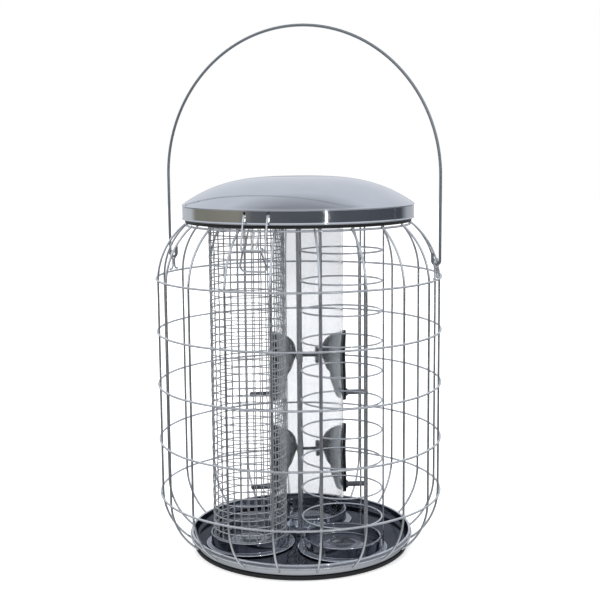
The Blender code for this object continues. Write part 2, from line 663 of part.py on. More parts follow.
def latch_pivot():
    return Vector((0, -(LID_RADIUS - LATCH_PIVOT_INSET), LID_BAND_BOTTOM + LATCH_PIVOT_RISE))


def lever_pivot():
    return latch_pivot() + Vector((0, -LATCH_LEAN, -LATCH_LENGTH))


def add_latch(zinc, lid_pivot):
    top = latch_pivot()
    low = lever_pivot()
    link_pivot = add_pivot("latch_link_pivot", top, lid_pivot)
    half = LATCH_HALF_WIDTH
    side = [(low.y, low.z), (top.y - 2.1 * MM, top.z - 3.0 * MM), (top.y, top.z), (top.y + 2.5 * MM, top.z + 0.3 * MM)]
    points = [(half, y, z) for y, z in side] + [(-half, y, z) for y, z in reversed(side)]
    link = add_wire("latch_link", rounded(points, 1.8 * MM, closed=True), LATCH_WIRE, zinc, closed=True)
    attach(link, link_pivot)

    lever_axis = add_pivot("latch_lever_pivot", low, link_pivot)
    hook = arc((low.y, low.z), 2 * LATCH_WIRE + GAP, -20, 180, 5)
    arm = [(-LEVER_HOOK_OFFSET, y, z) for y, z in hook]
    arm += [(-LEVER_HALF_WIDTH, low.y + 1.0 * MM, low.z - LEVER_LENGTH + 3.5 * MM)]
    arm += [(-LEVER_HALF_WIDTH + 2.2 * MM, low.y + 2.5 * MM, low.z - LEVER_LENGTH)]
    points = arm + [(-x, y, z) for x, y, z in reversed(arm)]
    lever = add_wire("latch_lever", points, LATCH_WIRE, zinc)
    attach(lever, lever_axis)

    ring_y = -(TOP_RING_RADIUS + HOOP_WIRE + GAP + KEEPER_WIRE)
    touch = (LATCH_WIRE + KEEPER_WIRE + GAP) / math.sqrt(2)
    foot = (low.y + touch * 1.4, low.z + touch * 0.9)
    top_bar = (ring_y, TOP_RING_HEIGHT + 0.3 * MM)
    points = [(-KEEPER_HALF_WIDTH, *foot), (-KEEPER_HALF_WIDTH, *top_bar)]
    points += [(KEEPER_HALF_WIDTH, *top_bar), (KEEPER_HALF_WIDTH, *foot)]
    add_wire("latch_keeper", rounded(points, 1.6 * MM), KEEPER_WIRE, zinc)


def eye_loop_height():
    return HOOP_HEIGHTS[0] + EYE_RISE


def bail_pivot_height():
    """The upright bail stands on the lower half of each loop."""
    return eye_loop_height() - (EYE_LOOP - EYE_WIRE - GAP - BAIL_WIRE)


def add_eyes(zinc):
    radius = hoop_radius(HOOP_HEIGHTS[0])
    foot_height = HOOP_HEIGHTS[0] + HOOP_WIRE + GAP + EYE_WIRE
    center = eye_loop_height()
    neck = math.degrees(math.asin(EYE_NECK / EYE_LOOP))
    left = [(-EYE_FOOT, foot_height), (-EYE_FOOT * 0.45, foot_height + 0.3 * MM)]
    left += [(-EYE_NECK - 0.2 * MM, foot_height + 3 * MM)]
    loop = arc((0, center), EYE_LOOP, 270 - neck, -90 + neck, 12)
    outline = left + loop + [(-across, up) for across, up in reversed(left)]
    for hand, turn in (("right", BAIL_TURN), ("left", BAIL_TURN + math.pi)):
        place = Matrix.Rotation(turn, 4, "Z") @ Matrix.Translation((radius, 0, 0))
        points = [place @ Vector((0, across, up)) for across, up in outline]
        add_wire("bail_eye_" + hand, points, EYE_WIRE, zinc)


def bail_half():
    """(across, up) points of the right half: tail, hook through the eye, straight arm, quarter of the arch."""
    radius = hoop_radius(HOOP_HEIGHTS[0])
    pivot = bail_pivot_height()
    arch = radius + BAIL_HOOK_RADIUS
    hook_center = (radius, pivot + BAIL_HOOK_RADIUS)
    half = [(radius - BAIL_HOOK_RADIUS, pivot + BAIL_TAIL)]
    half += arc(hook_center, BAIL_HOOK_RADIUS, -180, 0, 8)
    half += arc((0, pivot + BAIL_LENGTH - arch), arch, 0, 90, 12)
    return half


def add_bail(zinc):
    pivot = add_pivot("bail_pivot", (0, 0, bail_pivot_height()))
    half = bail_half()
    outline = half + [(-across, up) for across, up in reversed(half[:-1])]
    turn = Matrix.Rotation(BAIL_TURN, 4, "Z")
    points = [turn @ Vector((across, 0, up)) for across, up in outline]
    attach(add_wire("bail", points, BAIL_WIRE, zinc), pivot)


def main():
    clear_scene()
    zinc = make_material("zinc_plated_wire", (0.62, 0.64, 0.66), 0.3, 1.0)
    steel = make_material("polished_steel", (0.62, 0.64, 0.68), 0.15, 1.0)
    black = make_material("black_plastic", (0.02, 0.02, 0.02), 0.5, 0.0)
    clear = make_material("clear_acrylic", (0.85, 0.87, 0.9), 0.05, 0.0, 0.3)
    dark = make_material("grey_cast_metal", (0.14, 0.15, 0.17), 0.35, 0.8)
    add_base(black, steel)
    add_cups(steel)
    add_rod(zinc)
    add_mesh_tube(zinc)
    add_fat_ball_holder(zinc)
    add_seed_tube(clear, dark)
    add_cage(zinc)
    lid_pivot = add_pivot("lid_pivot", hinge_axis())
    add_lid(steel, lid_pivot)
    add_lid_hinge(zinc, steel, lid_pivot)
    add_latch(zinc, lid_pivot)
    add_eyes(zinc)
    add_bail(zinc)


main()
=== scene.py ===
"""The looks of a hanging bird feeder with a guard cage, with its light and camera.

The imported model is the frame. Each piece is made here in the frame's own metres and
rides on one of its bodies.
"""

import json
import math

import bpy
from mathutils import Matrix, Vector


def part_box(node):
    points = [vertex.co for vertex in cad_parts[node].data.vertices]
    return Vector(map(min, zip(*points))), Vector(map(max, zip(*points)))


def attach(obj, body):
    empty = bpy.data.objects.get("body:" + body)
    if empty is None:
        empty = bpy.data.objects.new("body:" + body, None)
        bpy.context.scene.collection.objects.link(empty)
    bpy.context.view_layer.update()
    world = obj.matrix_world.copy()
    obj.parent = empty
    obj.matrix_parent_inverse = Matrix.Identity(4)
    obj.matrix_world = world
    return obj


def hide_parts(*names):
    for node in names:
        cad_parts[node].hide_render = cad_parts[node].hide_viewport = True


bl_info = {
    "name": "Guarded Bird Feeder",
    "version": (1, 0, 0),
    "blender": (4, 5, 0),
    "location": "View3D > Sidebar > Feeder",
    "description": "Builds the pieces, finishes, light and camera of a guarded bird feeder",
    "category": "Object",
}

MM = 0.001
FULL_TURN = math.tau
QUARTER = math.radians(90)

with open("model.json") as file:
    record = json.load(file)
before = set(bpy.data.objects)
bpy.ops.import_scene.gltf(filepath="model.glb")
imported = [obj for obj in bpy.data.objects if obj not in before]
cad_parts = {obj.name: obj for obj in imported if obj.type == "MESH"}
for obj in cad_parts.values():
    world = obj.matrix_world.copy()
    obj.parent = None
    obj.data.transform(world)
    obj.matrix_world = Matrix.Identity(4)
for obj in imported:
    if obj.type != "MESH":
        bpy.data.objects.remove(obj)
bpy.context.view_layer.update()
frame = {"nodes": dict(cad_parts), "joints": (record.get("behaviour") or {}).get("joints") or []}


def box_center(node):
    low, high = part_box(node)
    return (low + high) / 2


def box_size(node):
    low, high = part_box(node)
    return high - low


HOOPS = ["hoop_1", "hoop_2", "hoop_3", "hoop_4", "hoop_5"]
UPRIGHTS = [f"upright_{index:02d}" for index in range(1, 21)]
CAGE_WIRE = box_size("hoop_3").z / 2 / math.cos(math.radians(30))
CAGE_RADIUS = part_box("hoop_3")[1].x - CAGE_WIRE
TOP_RING_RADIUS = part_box("top_ring")[1].x - CAGE_WIRE
BOTTOM_RING_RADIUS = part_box("bottom_ring")[1].x - CAGE_WIRE
LID_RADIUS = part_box("lid")[1].x
FAT_BALL_CENTER = box_center("cup_fat_ball")
MESH_CENTER = box_center("cup_mesh")
SEED_CENTER = box_center("cup_seed")
SEED_RADIUS = box_size("seed_tube").x / 2
MESH_RADIUS = box_size("mesh_tube").x / 2
TUBE_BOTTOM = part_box("seed_tube")[0].z
TUBE_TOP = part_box("seed_tube")[1].z
PERCH_OFFSET = box_center("perch_upper_right") - SEED_CENTER
JOINTS = {joint["name"]: joint for joint in frame["joints"]}

TOP_SLOPE = 52  # degrees that each upright has turned from vertical at the top ring
BOTTOM_SLOPE = 55  # and at the bottom ring
WELD_TURN = math.radians(72)  # bearing of the butt weld in the cage's rings

HOLDER_RADIUS = 33.9 * MM  # centreline of the fat-ball rings
HOLDER_WIRE = 0.75 * MM
HOLDER_RINGS = 10
HOLDER_PITCH = 25.44 * MM
HOLDER_FIRST_RING = 33.3 * MM
HOLDER_UPRIGHTS = 6
HOLDER_PHASE = math.radians(19.5)
HOLDER_WELD = 0.3 * MM  # how far a ring sinks into an upright

PORT_NODES = ["upper_right", "upper_left", "lower_right", "lower_left"]
PORT_TURN = math.atan2(PERCH_OFFSET.y, PERCH_OFFSET.x)
PORT_WIDTH = 11.0 * MM  # half the opening, at its widest height
PORT_UP = 21.0 * MM
PORT_DOWN = 41.0 * MM
PORT_LAP = 1.6 * MM  # the flange laps the tube by this
PORT_FRONT = 2.5 * MM  # the flange's face stands this far out from the tube
PORT_DEPTH = 20.0 * MM
PORT_TONGUE = 8.5 * MM
PORT_WALL = 1.8 * MM
PORT_FLANGE_START = 0.9 * MM  # the flange is painted black for shade from this far out from the tube
PERCH_REACH = 22.8 * MM  # from the tube to the perch's tip
PERCH_RADIUS = 2.35 * MM
PERCH_EDGE = 1.6 * MM
SEED_HOLE = 5 * MM
SEED_HOLE_DROP = 17 * MM
BUSH_RADIUS = 7.4 * MM
TIE_RADIUS = 1.3 * MM

LID_CURVE = 3.05  # power of the dome's fall towards its edge
LIP_DROP = 2.7 * MM
LIP_INSET = 2.5 * MM
LIP_SHEET = 1.2 * MM
LATCH_WIRE = 0.8 * MM
LATCH_HALF_WIDTH = 10.0 * MM
LEVER_HALF_WIDTH = 11.2 * MM
LEVER_HOOK_OFFSET = 7.5 * MM
LEVER_LENGTH = 16.6 * MM
KEEPER_WIRE = 0.7 * MM
KEEPER_HALF_WIDTH = 2.0 * MM
HINGE_HALF_WIDTH = 11.0 * MM
HINGE_WIRE = 0.8 * MM

BAIL_WIRE = 1.2 * MM
BAIL_HOOK = 3.2 * MM
BAIL_TAIL = 9.5 * MM
EYE_WIRE = 0.8 * MM
EYE_LOOP = 3.9 * MM
EYE_NECK = 1.3 * MM


# ------------------------------------------------------------------ settings


def length(name, description, millimetres):
    return bpy.props.FloatProperty(
        name=name, description=description, default=millimetres * MM, unit="LENGTH"
    )


def tint(name, description, hex_colour):
    return bpy.props.StringProperty(name=name, description=description, default=hex_colour)


class FeederSizes(bpy.types.PropertyGroup):
    """Sizes that the maker would choose for the pieces."""

    upright_wire: length("Upright wire", "Radius of the cage's upright wires", 0.95)
    weld_depth: length("Weld depth", "How far two welded wires sink into each other", 0.25)
    wire_sides: bpy.props.IntProperty(
        name="Wire sides", description="Flats round a cage wire", default=12, min=6, max=24
    )
    mesh_pitch: length("Mesh pitch", "Spacing of the woven mesh", 6.35)
    mesh_wire: length("Mesh wire", "Radius of the woven mesh's wire", 0.5)
    lid_sheet: length("Lid sheet", "Thickness of the lid's pressed sheet", 0.8)
    lid_rise: length("Dome rise", "Height of the dome above its shoulder", 23.5)


class FeederColours(bpy.types.PropertyGroup):
    """Colours of the finishes, as sRGB hex values."""

    zinc: tint("Zinc", "Bright zinc plate on wire", "#E2E4E7")
    mesh: tint("Mesh", "Galvanised wire of the mesh", "#DDDFE1")
    bail: tint("Bail", "Darker drawn wire of the bail", "#A2A6AA")
    steel: tint("Steel", "Polished stainless steel", "#D3D6DB")
    # Painted reflection: the darker tone inside the cups.
    painted_cup_reflection: tint("Cup reflection", "Steel inside the cups", "#8F939A")
    # Painted reflection: the dark tone inside the tray.
    painted_tray_reflection: tint("Tray reflection", "Dark lacquer inside the tray", "#52565E")
    hood: tint("Hood", "Smoked plastic of the ports' hoods", "#4B4F54")
    # Partly a painted highlight: the pale tone at the hoods' root.
    frost_and_highlight: tint("Frost and highlight", "Frosted root of the ports' hoods", "#C6CFD5")
    casting: tint("Casting", "Dark grey die casting", "#5C6066")
    # Black plastic of the base plate, also used as painted shade on the lid's lip and the ports'
    # flanges.
    plastic: tint("Black plastic", "Moulded black plastic and painted shade", "#121315")
    acrylic: tint("Acrylic", "Clear extruded acrylic", "#E2E3E5")
    floor: tint("Floor", "Plain pale floor", "#FDFDFD")


def sizes():
    return bpy.context.scene.feeder_sizes


def colours():
    return bpy.context.scene.feeder_colours


# ------------------------------------------------------------------ modelling helpers


def object_mode():
    if bpy.context.object and bpy.context.object.mode != "OBJECT":
        bpy.ops.object.mode_set(mode="OBJECT")


def deselect_all():
    object_mode()
    bpy.ops.object.select_all(action="DESELECT")


def choose(piece):
    deselect_all()
    piece.select_set(True)
    bpy.context.view_layer.objects.active = piece


def named(piece, name):
    piece.name = name
    piece.data.name = name
    return piece


def edit_all():
    bpy.ops.object.mode_set(mode="EDIT")
    bpy.ops.mesh.select_mode(type="VERT")
    bpy.ops.mesh.select_all(action="SELECT")


def draw_line(name, points):
    """Extrudes one vertex along a path. The path may come back to its start."""
    deselect_all()
    bpy.ops.mesh.primitive_plane_add(size=MM, location=points[0])
    line = named(bpy.context.object, name)
    bpy.ops.object.transform_apply(location=True, rotation=True, scale=True)
    bpy.ops.object.mode_set(mode="EDIT")
    bpy.ops.mesh.select_mode(type="VERT")
    bpy.ops.mesh.merge(type="CENTER")
    for start, end in zip(points, points[1:]):
        step = Vector(end) - Vector(start)
        bpy.ops.mesh.extrude_region_move(TRANSFORM_OT_translate={"value": step})
    bpy.ops.mesh.select_all(action="SELECT")
    bpy.ops.mesh.remove_doubles(threshold=1e-6)
    object_mode()
    return line


def smooth(piece, degrees=35):
    choose(piece)
    bpy.ops.object.shade_smooth_by_angle(angle=math.radians(degrees))


def clean(piece, degrees=35):
    """Doubles merged, normals outwards, round faces shaded smooth."""
    choose(piece)
    edit_all()
    bpy.ops.mesh.remove_doubles(threshold=2e-6)
    bpy.ops.mesh.select_all(action="SELECT")
    bpy.ops.mesh.normals_make_consistent(inside=False)
    object_mode()
    smooth(piece, degrees)
    return piece


def thickened(line, radius, sides, swell=None):
    """Gives a line the thickness of a round wire; swell(point) is the wire's factor at a point."""
    choose(line)
    bpy.ops.object.convert(target="CURVE")
    curve = bpy.context.object.data
    curve.bevel_depth = radius
    curve.bevel_resolution = (sides - 4) // 2
    curve.use_fill_caps = True
    if swell:
        for point in curve.splines[0].points:
            point.radius = swell(point.co)
    bpy.ops.object.convert(target="MESH")
    return clean(bpy.context.object, 50)


def wire(name, points, radius, sides=12):
    return thickened(draw_line(name, points), radius, sides)


def round_ring(name, radius, height, wire_radius, sides, steps, center=(0, 0), weld_turn=None):
    """A wire ring, butt-welded at one place where it swells a little."""
    deselect_all()
    bpy.ops.mesh.primitive_circle_add(vertices=steps, radius=radius, location=(*center, height))
    ring = named(bpy.context.object, name)
    bpy.ops.object.transform_apply(location=True, rotation=True, scale=True)

    def swell(spot):
        turn = math.atan2(spot.y - center[1], spot.x - center[0])
        away = abs((turn - weld_turn + math.pi) % FULL_TURN - math.pi) * radius
        return 1 + 0.22 * math.exp(-((away / (1.6 * MM)) ** 2))

    return thickened(ring, wire_radius, sides, swell if weld_turn is not None else None)


def turned(name, profile, steps, center=(0, 0), degrees=28):
    """A profile of (radius, height) points spun about Z, closed or with both ends on the axis."""
    on_axis = profile[0][0] == 0 and profile[-1][0] == 0
    path = [(center[0] + radius, center[1], height) for radius, height in profile]
    if not on_axis:
        path.append(path[0])
    piece = draw_line(name, path)
    choose(piece)
    edit_all()
    bpy.ops.mesh.spin(
        steps=steps, angle=FULL_TURN, center=(*center, 0), axis=(0, 0, 1), use_auto_merge=True
    )
    object_mode()
    return clean(piece, degrees)


def extruded(name, outline, direction, degrees=28):
    """A closed outline of points filled and extruded."""
    piece = draw_line(name, [*outline, outline[0]])
    choose(piece)
    edit_all()
    bpy.ops.mesh.edge_face_add()
    bpy.ops.mesh.extrude_region_move(TRANSFORM_OT_translate={"value": Vector(direction)})
    object_mode()
    return clean(piece, degrees)


def placed(piece, matrix):
    piece.data.transform(matrix)
    piece.data.update()
    return piece


def copied(source, name, matrix=None):
    twin = source.copy()
    twin.data = source.data.copy()
    named(twin, name)
    bpy.context.scene.collection.objects.link(twin)
    if matrix is not None:
        placed(twin, matrix)
    return twin


def joined(name, pieces):
    deselect_all()
    for piece in pieces:
        piece.select_set(True)
    bpy.context.view_layer.objects.active = pieces[0]
    bpy.ops.object.join()
    return named(bpy.context.object, name)


def bevelled(piece, width, segments=2, degrees=30):
    choose(piece)
    modifier = piece.modifiers.new("edges", "BEVEL")
    modifier.width = width
    modifier.segments = segments
    modifier.limit_method = "ANGLE"
    modifier.angle_limit = math.radians(degrees)
    modifier.harden_normals = False
    bpy.ops.object.modifier_apply(modifier=modifier.name)
    return piece


def cut(piece, cutter):
    choose(piece)
    modifier = piece.modifiers.new("cut", "BOOLEAN")
    modifier.operation = "DIFFERENCE"
    modifier.solver = "EXACT"
    modifier.object = cutter
    bpy.ops.object.modifier_apply(modifier=modifier.name)
    bpy.data.objects.remove(cutter, do_unlink=True)
    return piece


def arc(center, radius, start, end, steps):
    """Points on an arc, as (across, up) pairs; the angles are in degrees."""
    angles = [math.radians(start + (end - start) * step / steps) for step in range(steps + 1)]
    return [(center[0] + radius * math.cos(a), center[1] + radius * math.sin(a)) for a in angles]


def rounded(points, radius, steps=5, closed=False):
    """The same path with its corners rounded off, where they have room."""
    path = [Vector(point) for point in points]
    count = len(path)
    result = []
    for index, corner in enumerate(path):
        if not closed and index in (0, count - 1):
            result.append(corner)
            continue
        before = path[index - 1] - corner
        after = path[(index + 1) % count] - corner
        reach = min(radius, before.length * 0.45, after.length * 0.45)
        start = corner + before.normalized() * reach
        end = corner + after.normalized() * reach
        for step in range(steps + 1):
            t = step / steps
            result.append(start * (1 - t) ** 2 + corner * 2 * t * (1 - t) + end * t**2)
    if closed:
        result.append(result[0])
    return result


def finished(piece, body, material, node):
    """Puts a piece on its body, in its finish, in place of its CAD node."""
    piece.data.materials.clear()
    piece.data.materials.append(material)
    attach(piece, body)
    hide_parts(node)
    return piece


def plated(piece, node, body="feeder"):
    """The same for a piece of bright plated wire."""
    return finished(piece, body, finish_of("zinc"), node)


def pressed(piece, node, body="feeder"):
    """The same for a piece pressed from polished steel."""
    return finished(piece, body, finish_of("steel"), node)


def cast(piece, node, finish="casting"):
    """The same for a dark grey casting."""
    return finished(piece, "feeder", finish_of(finish), node)


def second_finish(piece, material, belongs):
    """Gives the faces for which belongs(face) holds another finish."""
    piece.data.materials.append(material)
    for face in piece.data.polygons:
        if belongs(face):
            face.material_index = 1
    return piece


# ------------------------------------------------------------------ materials


def linear(hex_colour):
    """An sRGB hex value as the linear colour that a shader takes."""
    values = [int(hex_colour[i : i + 2], 16) / 255 for i in (1, 3, 5)]
    linear_values = [v / 12.92 if v <= 0.04045 else ((v + 0.055) / 1.055) ** 2.4 for v in values]
    return (*linear_values, 1.0)


def add_node(material, kind, settings=None, values=None, links=None):
    """One shader node: its settings, its inputs' values, and links from other nodes' outputs."""
    tree = material.node_tree
    node = tree.nodes.new(kind)
    for key, value in (settings or {}).items():
        setattr(node, key, value)
    for key, value in (values or {}).items():
        node.inputs[key].default_value = value
    for key, output in (links or {}).items():
        tree.links.new(output, node.inputs[key])
    return node


def new_material(name, **values):
    """A material with one Principled shader, whose sockets are set by name."""
    material = bpy.data.materials.new(name)
    material.use_nodes = True
    shader = material.node_tree.nodes["Principled BSDF"]
    for key, value in values.items():
        shader.inputs[key.replace("_", " ")].default_value = value
    return material, shader


def set_ramp(node, stops):
    ramp = node.color_ramp
    while len(ramp.elements) > 1:
        ramp.elements.remove(ramp.elements[-1])
    ramp.elements[0].position = stops[0][0]
    ramp.elements[0].color = stops[0][1]
    for position, colour in stops[1:]:
        ramp.elements.new(position).color = colour
    return node


def grey(value):
    return (value, value, value, 1.0)


def shade(hex_colour, factor):
    colour = linear(hex_colour)
    return (colour[0] * factor, colour[1] * factor, colour[2] * factor, 1.0)


def object_noise(material, scale_mm, detail=2.0, stretch=(1, 1, 1)):
    """The value of a noise whose grain is about scale_mm across, on the piece's own coordinates."""
    coordinates = add_node(material, "ShaderNodeTexCoord").outputs["Object"]
    mapping = add_node(
        material, "ShaderNodeMapping", values={"Scale": stretch}, links={"Vector": coordinates}
    )
    noise = add_node(
        material,
        "ShaderNodeTexNoise",
        values={"Scale": 1 / (scale_mm * MM), "Detail": detail, "Roughness": 0.5},
        links={"Vector": mapping.outputs["Vector"]},
    )
    return noise.outputs["Fac"]


def cloudy(hex_colour, dark, light):
    """The stops of a ramp between a colour's darker and lighter shade."""
    return [(0.3, shade(hex_colour, dark)), (0.7, shade(hex_colour, light))]


def surface(material, shader, rough, rough_by, bump_mm, bump_by, tones=None, tones_by=None):
    """Lets a shader's roughness, relief and colour follow noises.

    rough is the noise's low and high value, and the roughness at each of them.
    """
    links = material.node_tree.links
    if tones:
        colour = add_node(material, "ShaderNodeValToRGB", links={"Fac": tones_by})
        set_ramp(colour, tones)
        links.new(colour.outputs["Color"], shader.inputs["Base Color"])
    limits = dict(zip(("From Min", "From Max", "To Min", "To Max"), rough))
    dullness = add_node(material, "ShaderNodeMapRange", values=limits, links={"Value": rough_by})
    relief = add_node(
        material, "ShaderNodeBump", values={"Distance": bump_mm * MM}, links={"Height": bump_by}
    )
    links.new(dullness.outputs["Result"], shader.inputs["Roughness"])
    links.new(relief.outputs["Normal"], shader.inputs["Normal"])
    return material


def metal_finish(name, hex_colour, dull, bright, patch_mm, grain_mm, bump_mm, contrast):
    """Bare or plated metal: cloudy patches shift its colour and roughness over a fine grain."""
    material, shader = new_material(name, Metallic=1.0)
    patches = object_noise(material, patch_mm, detail=4.0)
    grain = object_noise(material, grain_mm)
    tones = cloudy(hex_colour, 1 - contrast, 1 + contrast / 2)
    return surface(material, shader, (0.3, 0.7, bright, dull), patches, bump_mm, grain, tones, patches)


def make_materials():
    """The feeder's finishes by name."""
    tone = colours()
    # Bright zinc electroplate on drawn steel wire: light and slightly cloudy, with soft highlights.
    zinc = metal_finish("zinc_plated_drawn_wire", tone.zinc, 0.27, 0.17, 14, 1.6, 0.004, 0.12)
    # Hot-dip zinc on woven mesh: duller, with small spangles.
    mesh = metal_finish("galvanised_woven_mesh", tone.mesh, 0.6, 0.45, 4, 0.9, 0.008, 0.25)
    # Drawn steel wire of the bail, darker than the plated cage.
    bail = metal_finish("drawn_steel_bail_wire", tone.bail, 0.45, 0.38, 25, 2.0, 0.0015, 0.06)
    # Stainless steel, pressed and polished: mirror-like with a faint waviness from the press.
    steel = metal_finish("polished_pressed_stainless", tone.steel, 0.12, 0.06, 35, 14, 0.03, 0.05)
    # The same steel inside the cups, toned darker: a painted dark reflection.
    painted_cup_reflection = metal_finish("pressed_stainless_with_painted_reflection", tone.painted_cup_reflection, 0.2, 0.1, 20, 10, 0.03, 0.15)
    return {
        "zinc": zinc,
        "mesh": mesh,
        "bail": bail,
        "steel": steel,
        "painted_cup_reflection": painted_cup_reflection,
        "painted_tray_reflection": make_painted_tray_reflection(tone.painted_tray_reflection),
        "hood": make_hood(tone.hood, tone.frost_and_highlight),
        "casting": make_casting(tone.casting),
        "plastic": make_black_plastic_and_shade(tone.plastic),
        "acrylic": make_acrylic(tone.acrylic),
    }


def make_painted_tray_reflection(tone):
    """Glossy steel toned dark for a painted reflection inside the tray: it mirrors what stands on it
    but stays dark.
    """
    material, shader = new_material("steel_with_painted_dark_reflection", Metallic=1.0, Specular_Tint=grey(0.55))
    patches = object_noise(material, 30, detail=4.0)
    grain = object_noise(material, 14)
    tones = cloudy(tone, 0.75, 1.25)
    return surface(material, shader, (0.3, 0.7, 0.07, 0.16), patches, 0.03, grain, tones, patches)


def make_hood(tone, frost_and_highlight):
    """Smoked plastic of the hoods: glossy and dark, and pale at its root by the tube's wall, partly
    frosted and partly a painted highlight.
    """
    material, shader = new_material(
        "smoked_hood_with_painted_highlight", IOR=1.49, Coat_Weight=0.4, Coat_Roughness=0.12
    )
    coordinates = add_node(material, "ShaderNodeTexCoord").outputs["Object"]
    reach = 1 / SEED_RADIUS
    middle = (-SEED_CENTER.x * reach, -SEED_CENTER.y * reach, 0)
    centred = add_node(
        material,
        "ShaderNodeMapping",
        values={"Location": middle, "Scale": (reach, reach, 0)},
        links={"Vector": coordinates},
    )
    inward = add_node(
        material,
        "ShaderNodeTexGradient",
        settings={"gradient_type": "SPHERICAL"},
        links={"Vector": centred.outputs["Vector"]},
    )
    cloud = object_noise(material, 5, detail=3.0)
    uneven = add_node(
        material,
        "ShaderNodeMath",
        settings={"operation": "MULTIPLY_ADD"},
        values={1: 0.16},
        links={0: cloud, 2: inward.outputs["Fac"]},
    )
    depth = uneven.outputs["Value"]
    grain = object_noise(material, 0.9)
    # Pale towards the tube's wall: partly frost, partly a painted highlight.
    tones = [(0.3, shade(frost_and_highlight, 1.0)), (0.4, shade(frost_and_highlight, 0.6)), (0.5, shade(tone, 1.0))]
    return surface(material, shader, (0.28, 0.48, 0.5, 0.25), depth, 0.02, grain, tones, depth)


def make_casting(tone):
    """Zinc die casting with a dark grey satin coat: small pits and a soft sheen."""
    material, shader = new_material(
        "dark_satin_die_casting", Metallic=0.35, Coat_Weight=0.25, Coat_Roughness=0.3
    )
    patches = object_noise(material, 6, detail=4.0)
    grain = object_noise(material, 0.8)
    tones = cloudy(tone, 0.8, 1.2)
    return surface(material, shader, (0, 1, 0.3, 0.5), patches, 0.03, grain, tones, patches)


def make_black_plastic_and_shade(tone):
    """Injection-moulded black polypropylene with a fine spark texture; the same finish paints shade on
    the lid's lip and the ports' flanges.
    """
    material, shader = new_material("black_polypropylene_and_painted_shade", IOR=1.49)
    grain = object_noise(material, 0.7)
    patches = object_noise(material, 20, detail=3.0)
    tones = cloudy(tone, 0.85, 1.35)
    return surface(material, shader, (0, 1, 0.42, 0.6), grain, 0.06, grain, tones, patches)


def make_acrylic(tone):
    """Extruded clear acrylic: smooth, with faint draw lines along the tube and a light haze."""
    material, shader = new_material(
        "extruded_clear_acrylic", IOR=1.49, Transmission_Weight=1.0, Base_Color=linear(tone)
    )
    lines = object_noise(material, 2.5, stretch=(1, 1, 0.02))
    haze = object_noise(material, 25, detail=4.0)
    return surface(material, shader, (0.35, 0.75, 0.02, 0.1), haze, 0.01, lines)


MATERIALS = {}


def finish_of(name):
    if not MATERIALS:
        MATERIALS.update(make_materials())
    return MATERIALS[name]


# ------------------------------------------------------------------ base, cups and rod


class FEEDER_OT_base(bpy.types.Operator):
    """Pressed tray with a rolled rim, on its black base plate"""

    bl_idname = "feeder.base"
    bl_label = "Tray and base plate"

    def execute(self, context):
        _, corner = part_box("base_plate")
        radius = corner.x
        top = corner.z
        wall = 1.5 * MM
        groove = 0.35 * MM
        profile = [(0, 0), (radius - 14 * MM, 0), (radius - 13.4 * MM, groove)]
        profile += [(radius - 11.6 * MM, groove), (radius - 11 * MM, 0), (radius - 1.9 * MM, 0)]
        profile += arc((radius - 1.9 * MM, 1.5 * MM), 1.5 * MM, -75, -15, 3)
        profile += [(radius, top), (radius - wall, top), (radius - wall - 0.4 * MM, wall), (0, wall)]
        plate = turned("moulded_base_plate", profile, 96)
        finished(plate, "feeder", finish_of("plastic"), "base_plate")

        low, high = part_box("base_tray")
        bottom = low.z
        floor = bottom + 0.9 * MM
        rim = high.x
        foot = rim - 3.2 * MM
        bead = 1.2 * MM
        bead_center = (rim - bead, high.z - bead)
        hole = box_size("centre_rod").x / 2 + 0.1 * MM
        profile = [(hole, bottom), (foot - 0.8 * MM, bottom), (foot, bottom + 0.6 * MM)]
        profile += [(foot + 0.5 * MM, bottom + 3.2 * MM), (foot + 1.0 * MM, bottom + 3.9 * MM)]
        profile += [(rim - 1.6 * MM, bead_center[1] - 1.2 * MM)]
        profile += arc(bead_center, bead, -75, 205, 10)
        profile += [(rim - 2.5 * MM, bead_center[1] - 1.5 * MM), (foot + 0.1 * MM, bottom + 4.0 * MM)]
        profile += [(foot - 1.0 * MM, floor + 1.6 * MM), (foot - 2.2 * MM, floor + 0.3 * MM)]
        profile += [(foot - 3.4 * MM, floor), (hole, floor)]
        tray = turned("pressed_tray", profile, 144)
        pressed(tray, "base_tray")
        # Painted reflection: the inside of the tray, below its rim, takes the dark finish.
        second_finish(
            tray, finish_of("painted_tray_reflection"), lambda face: gets_painted_reflection(face, (0, 0), bead_center[0], floor)
        )
        return {"FINISHED"}


def gets_painted_reflection(face, center, radius, floor):
    """Whether a face of a tray or cup looks up or in, below its rolled rim; these faces get the painted
    dark reflection.
    """
    out = face.center.xy - Vector(center)
    looks_in = face.normal.z > 0.3 or face.normal.xy.dot(out) < 0
    return looks_in and face.center.z > floor - 0.2 * MM and out.length < radius - 1.0 * MM


CUP_RADIUS = {"cup_fat_ball": 33.05 * MM, "cup_mesh": 34.15 * MM, "cup_seed": 33.15 * MM}


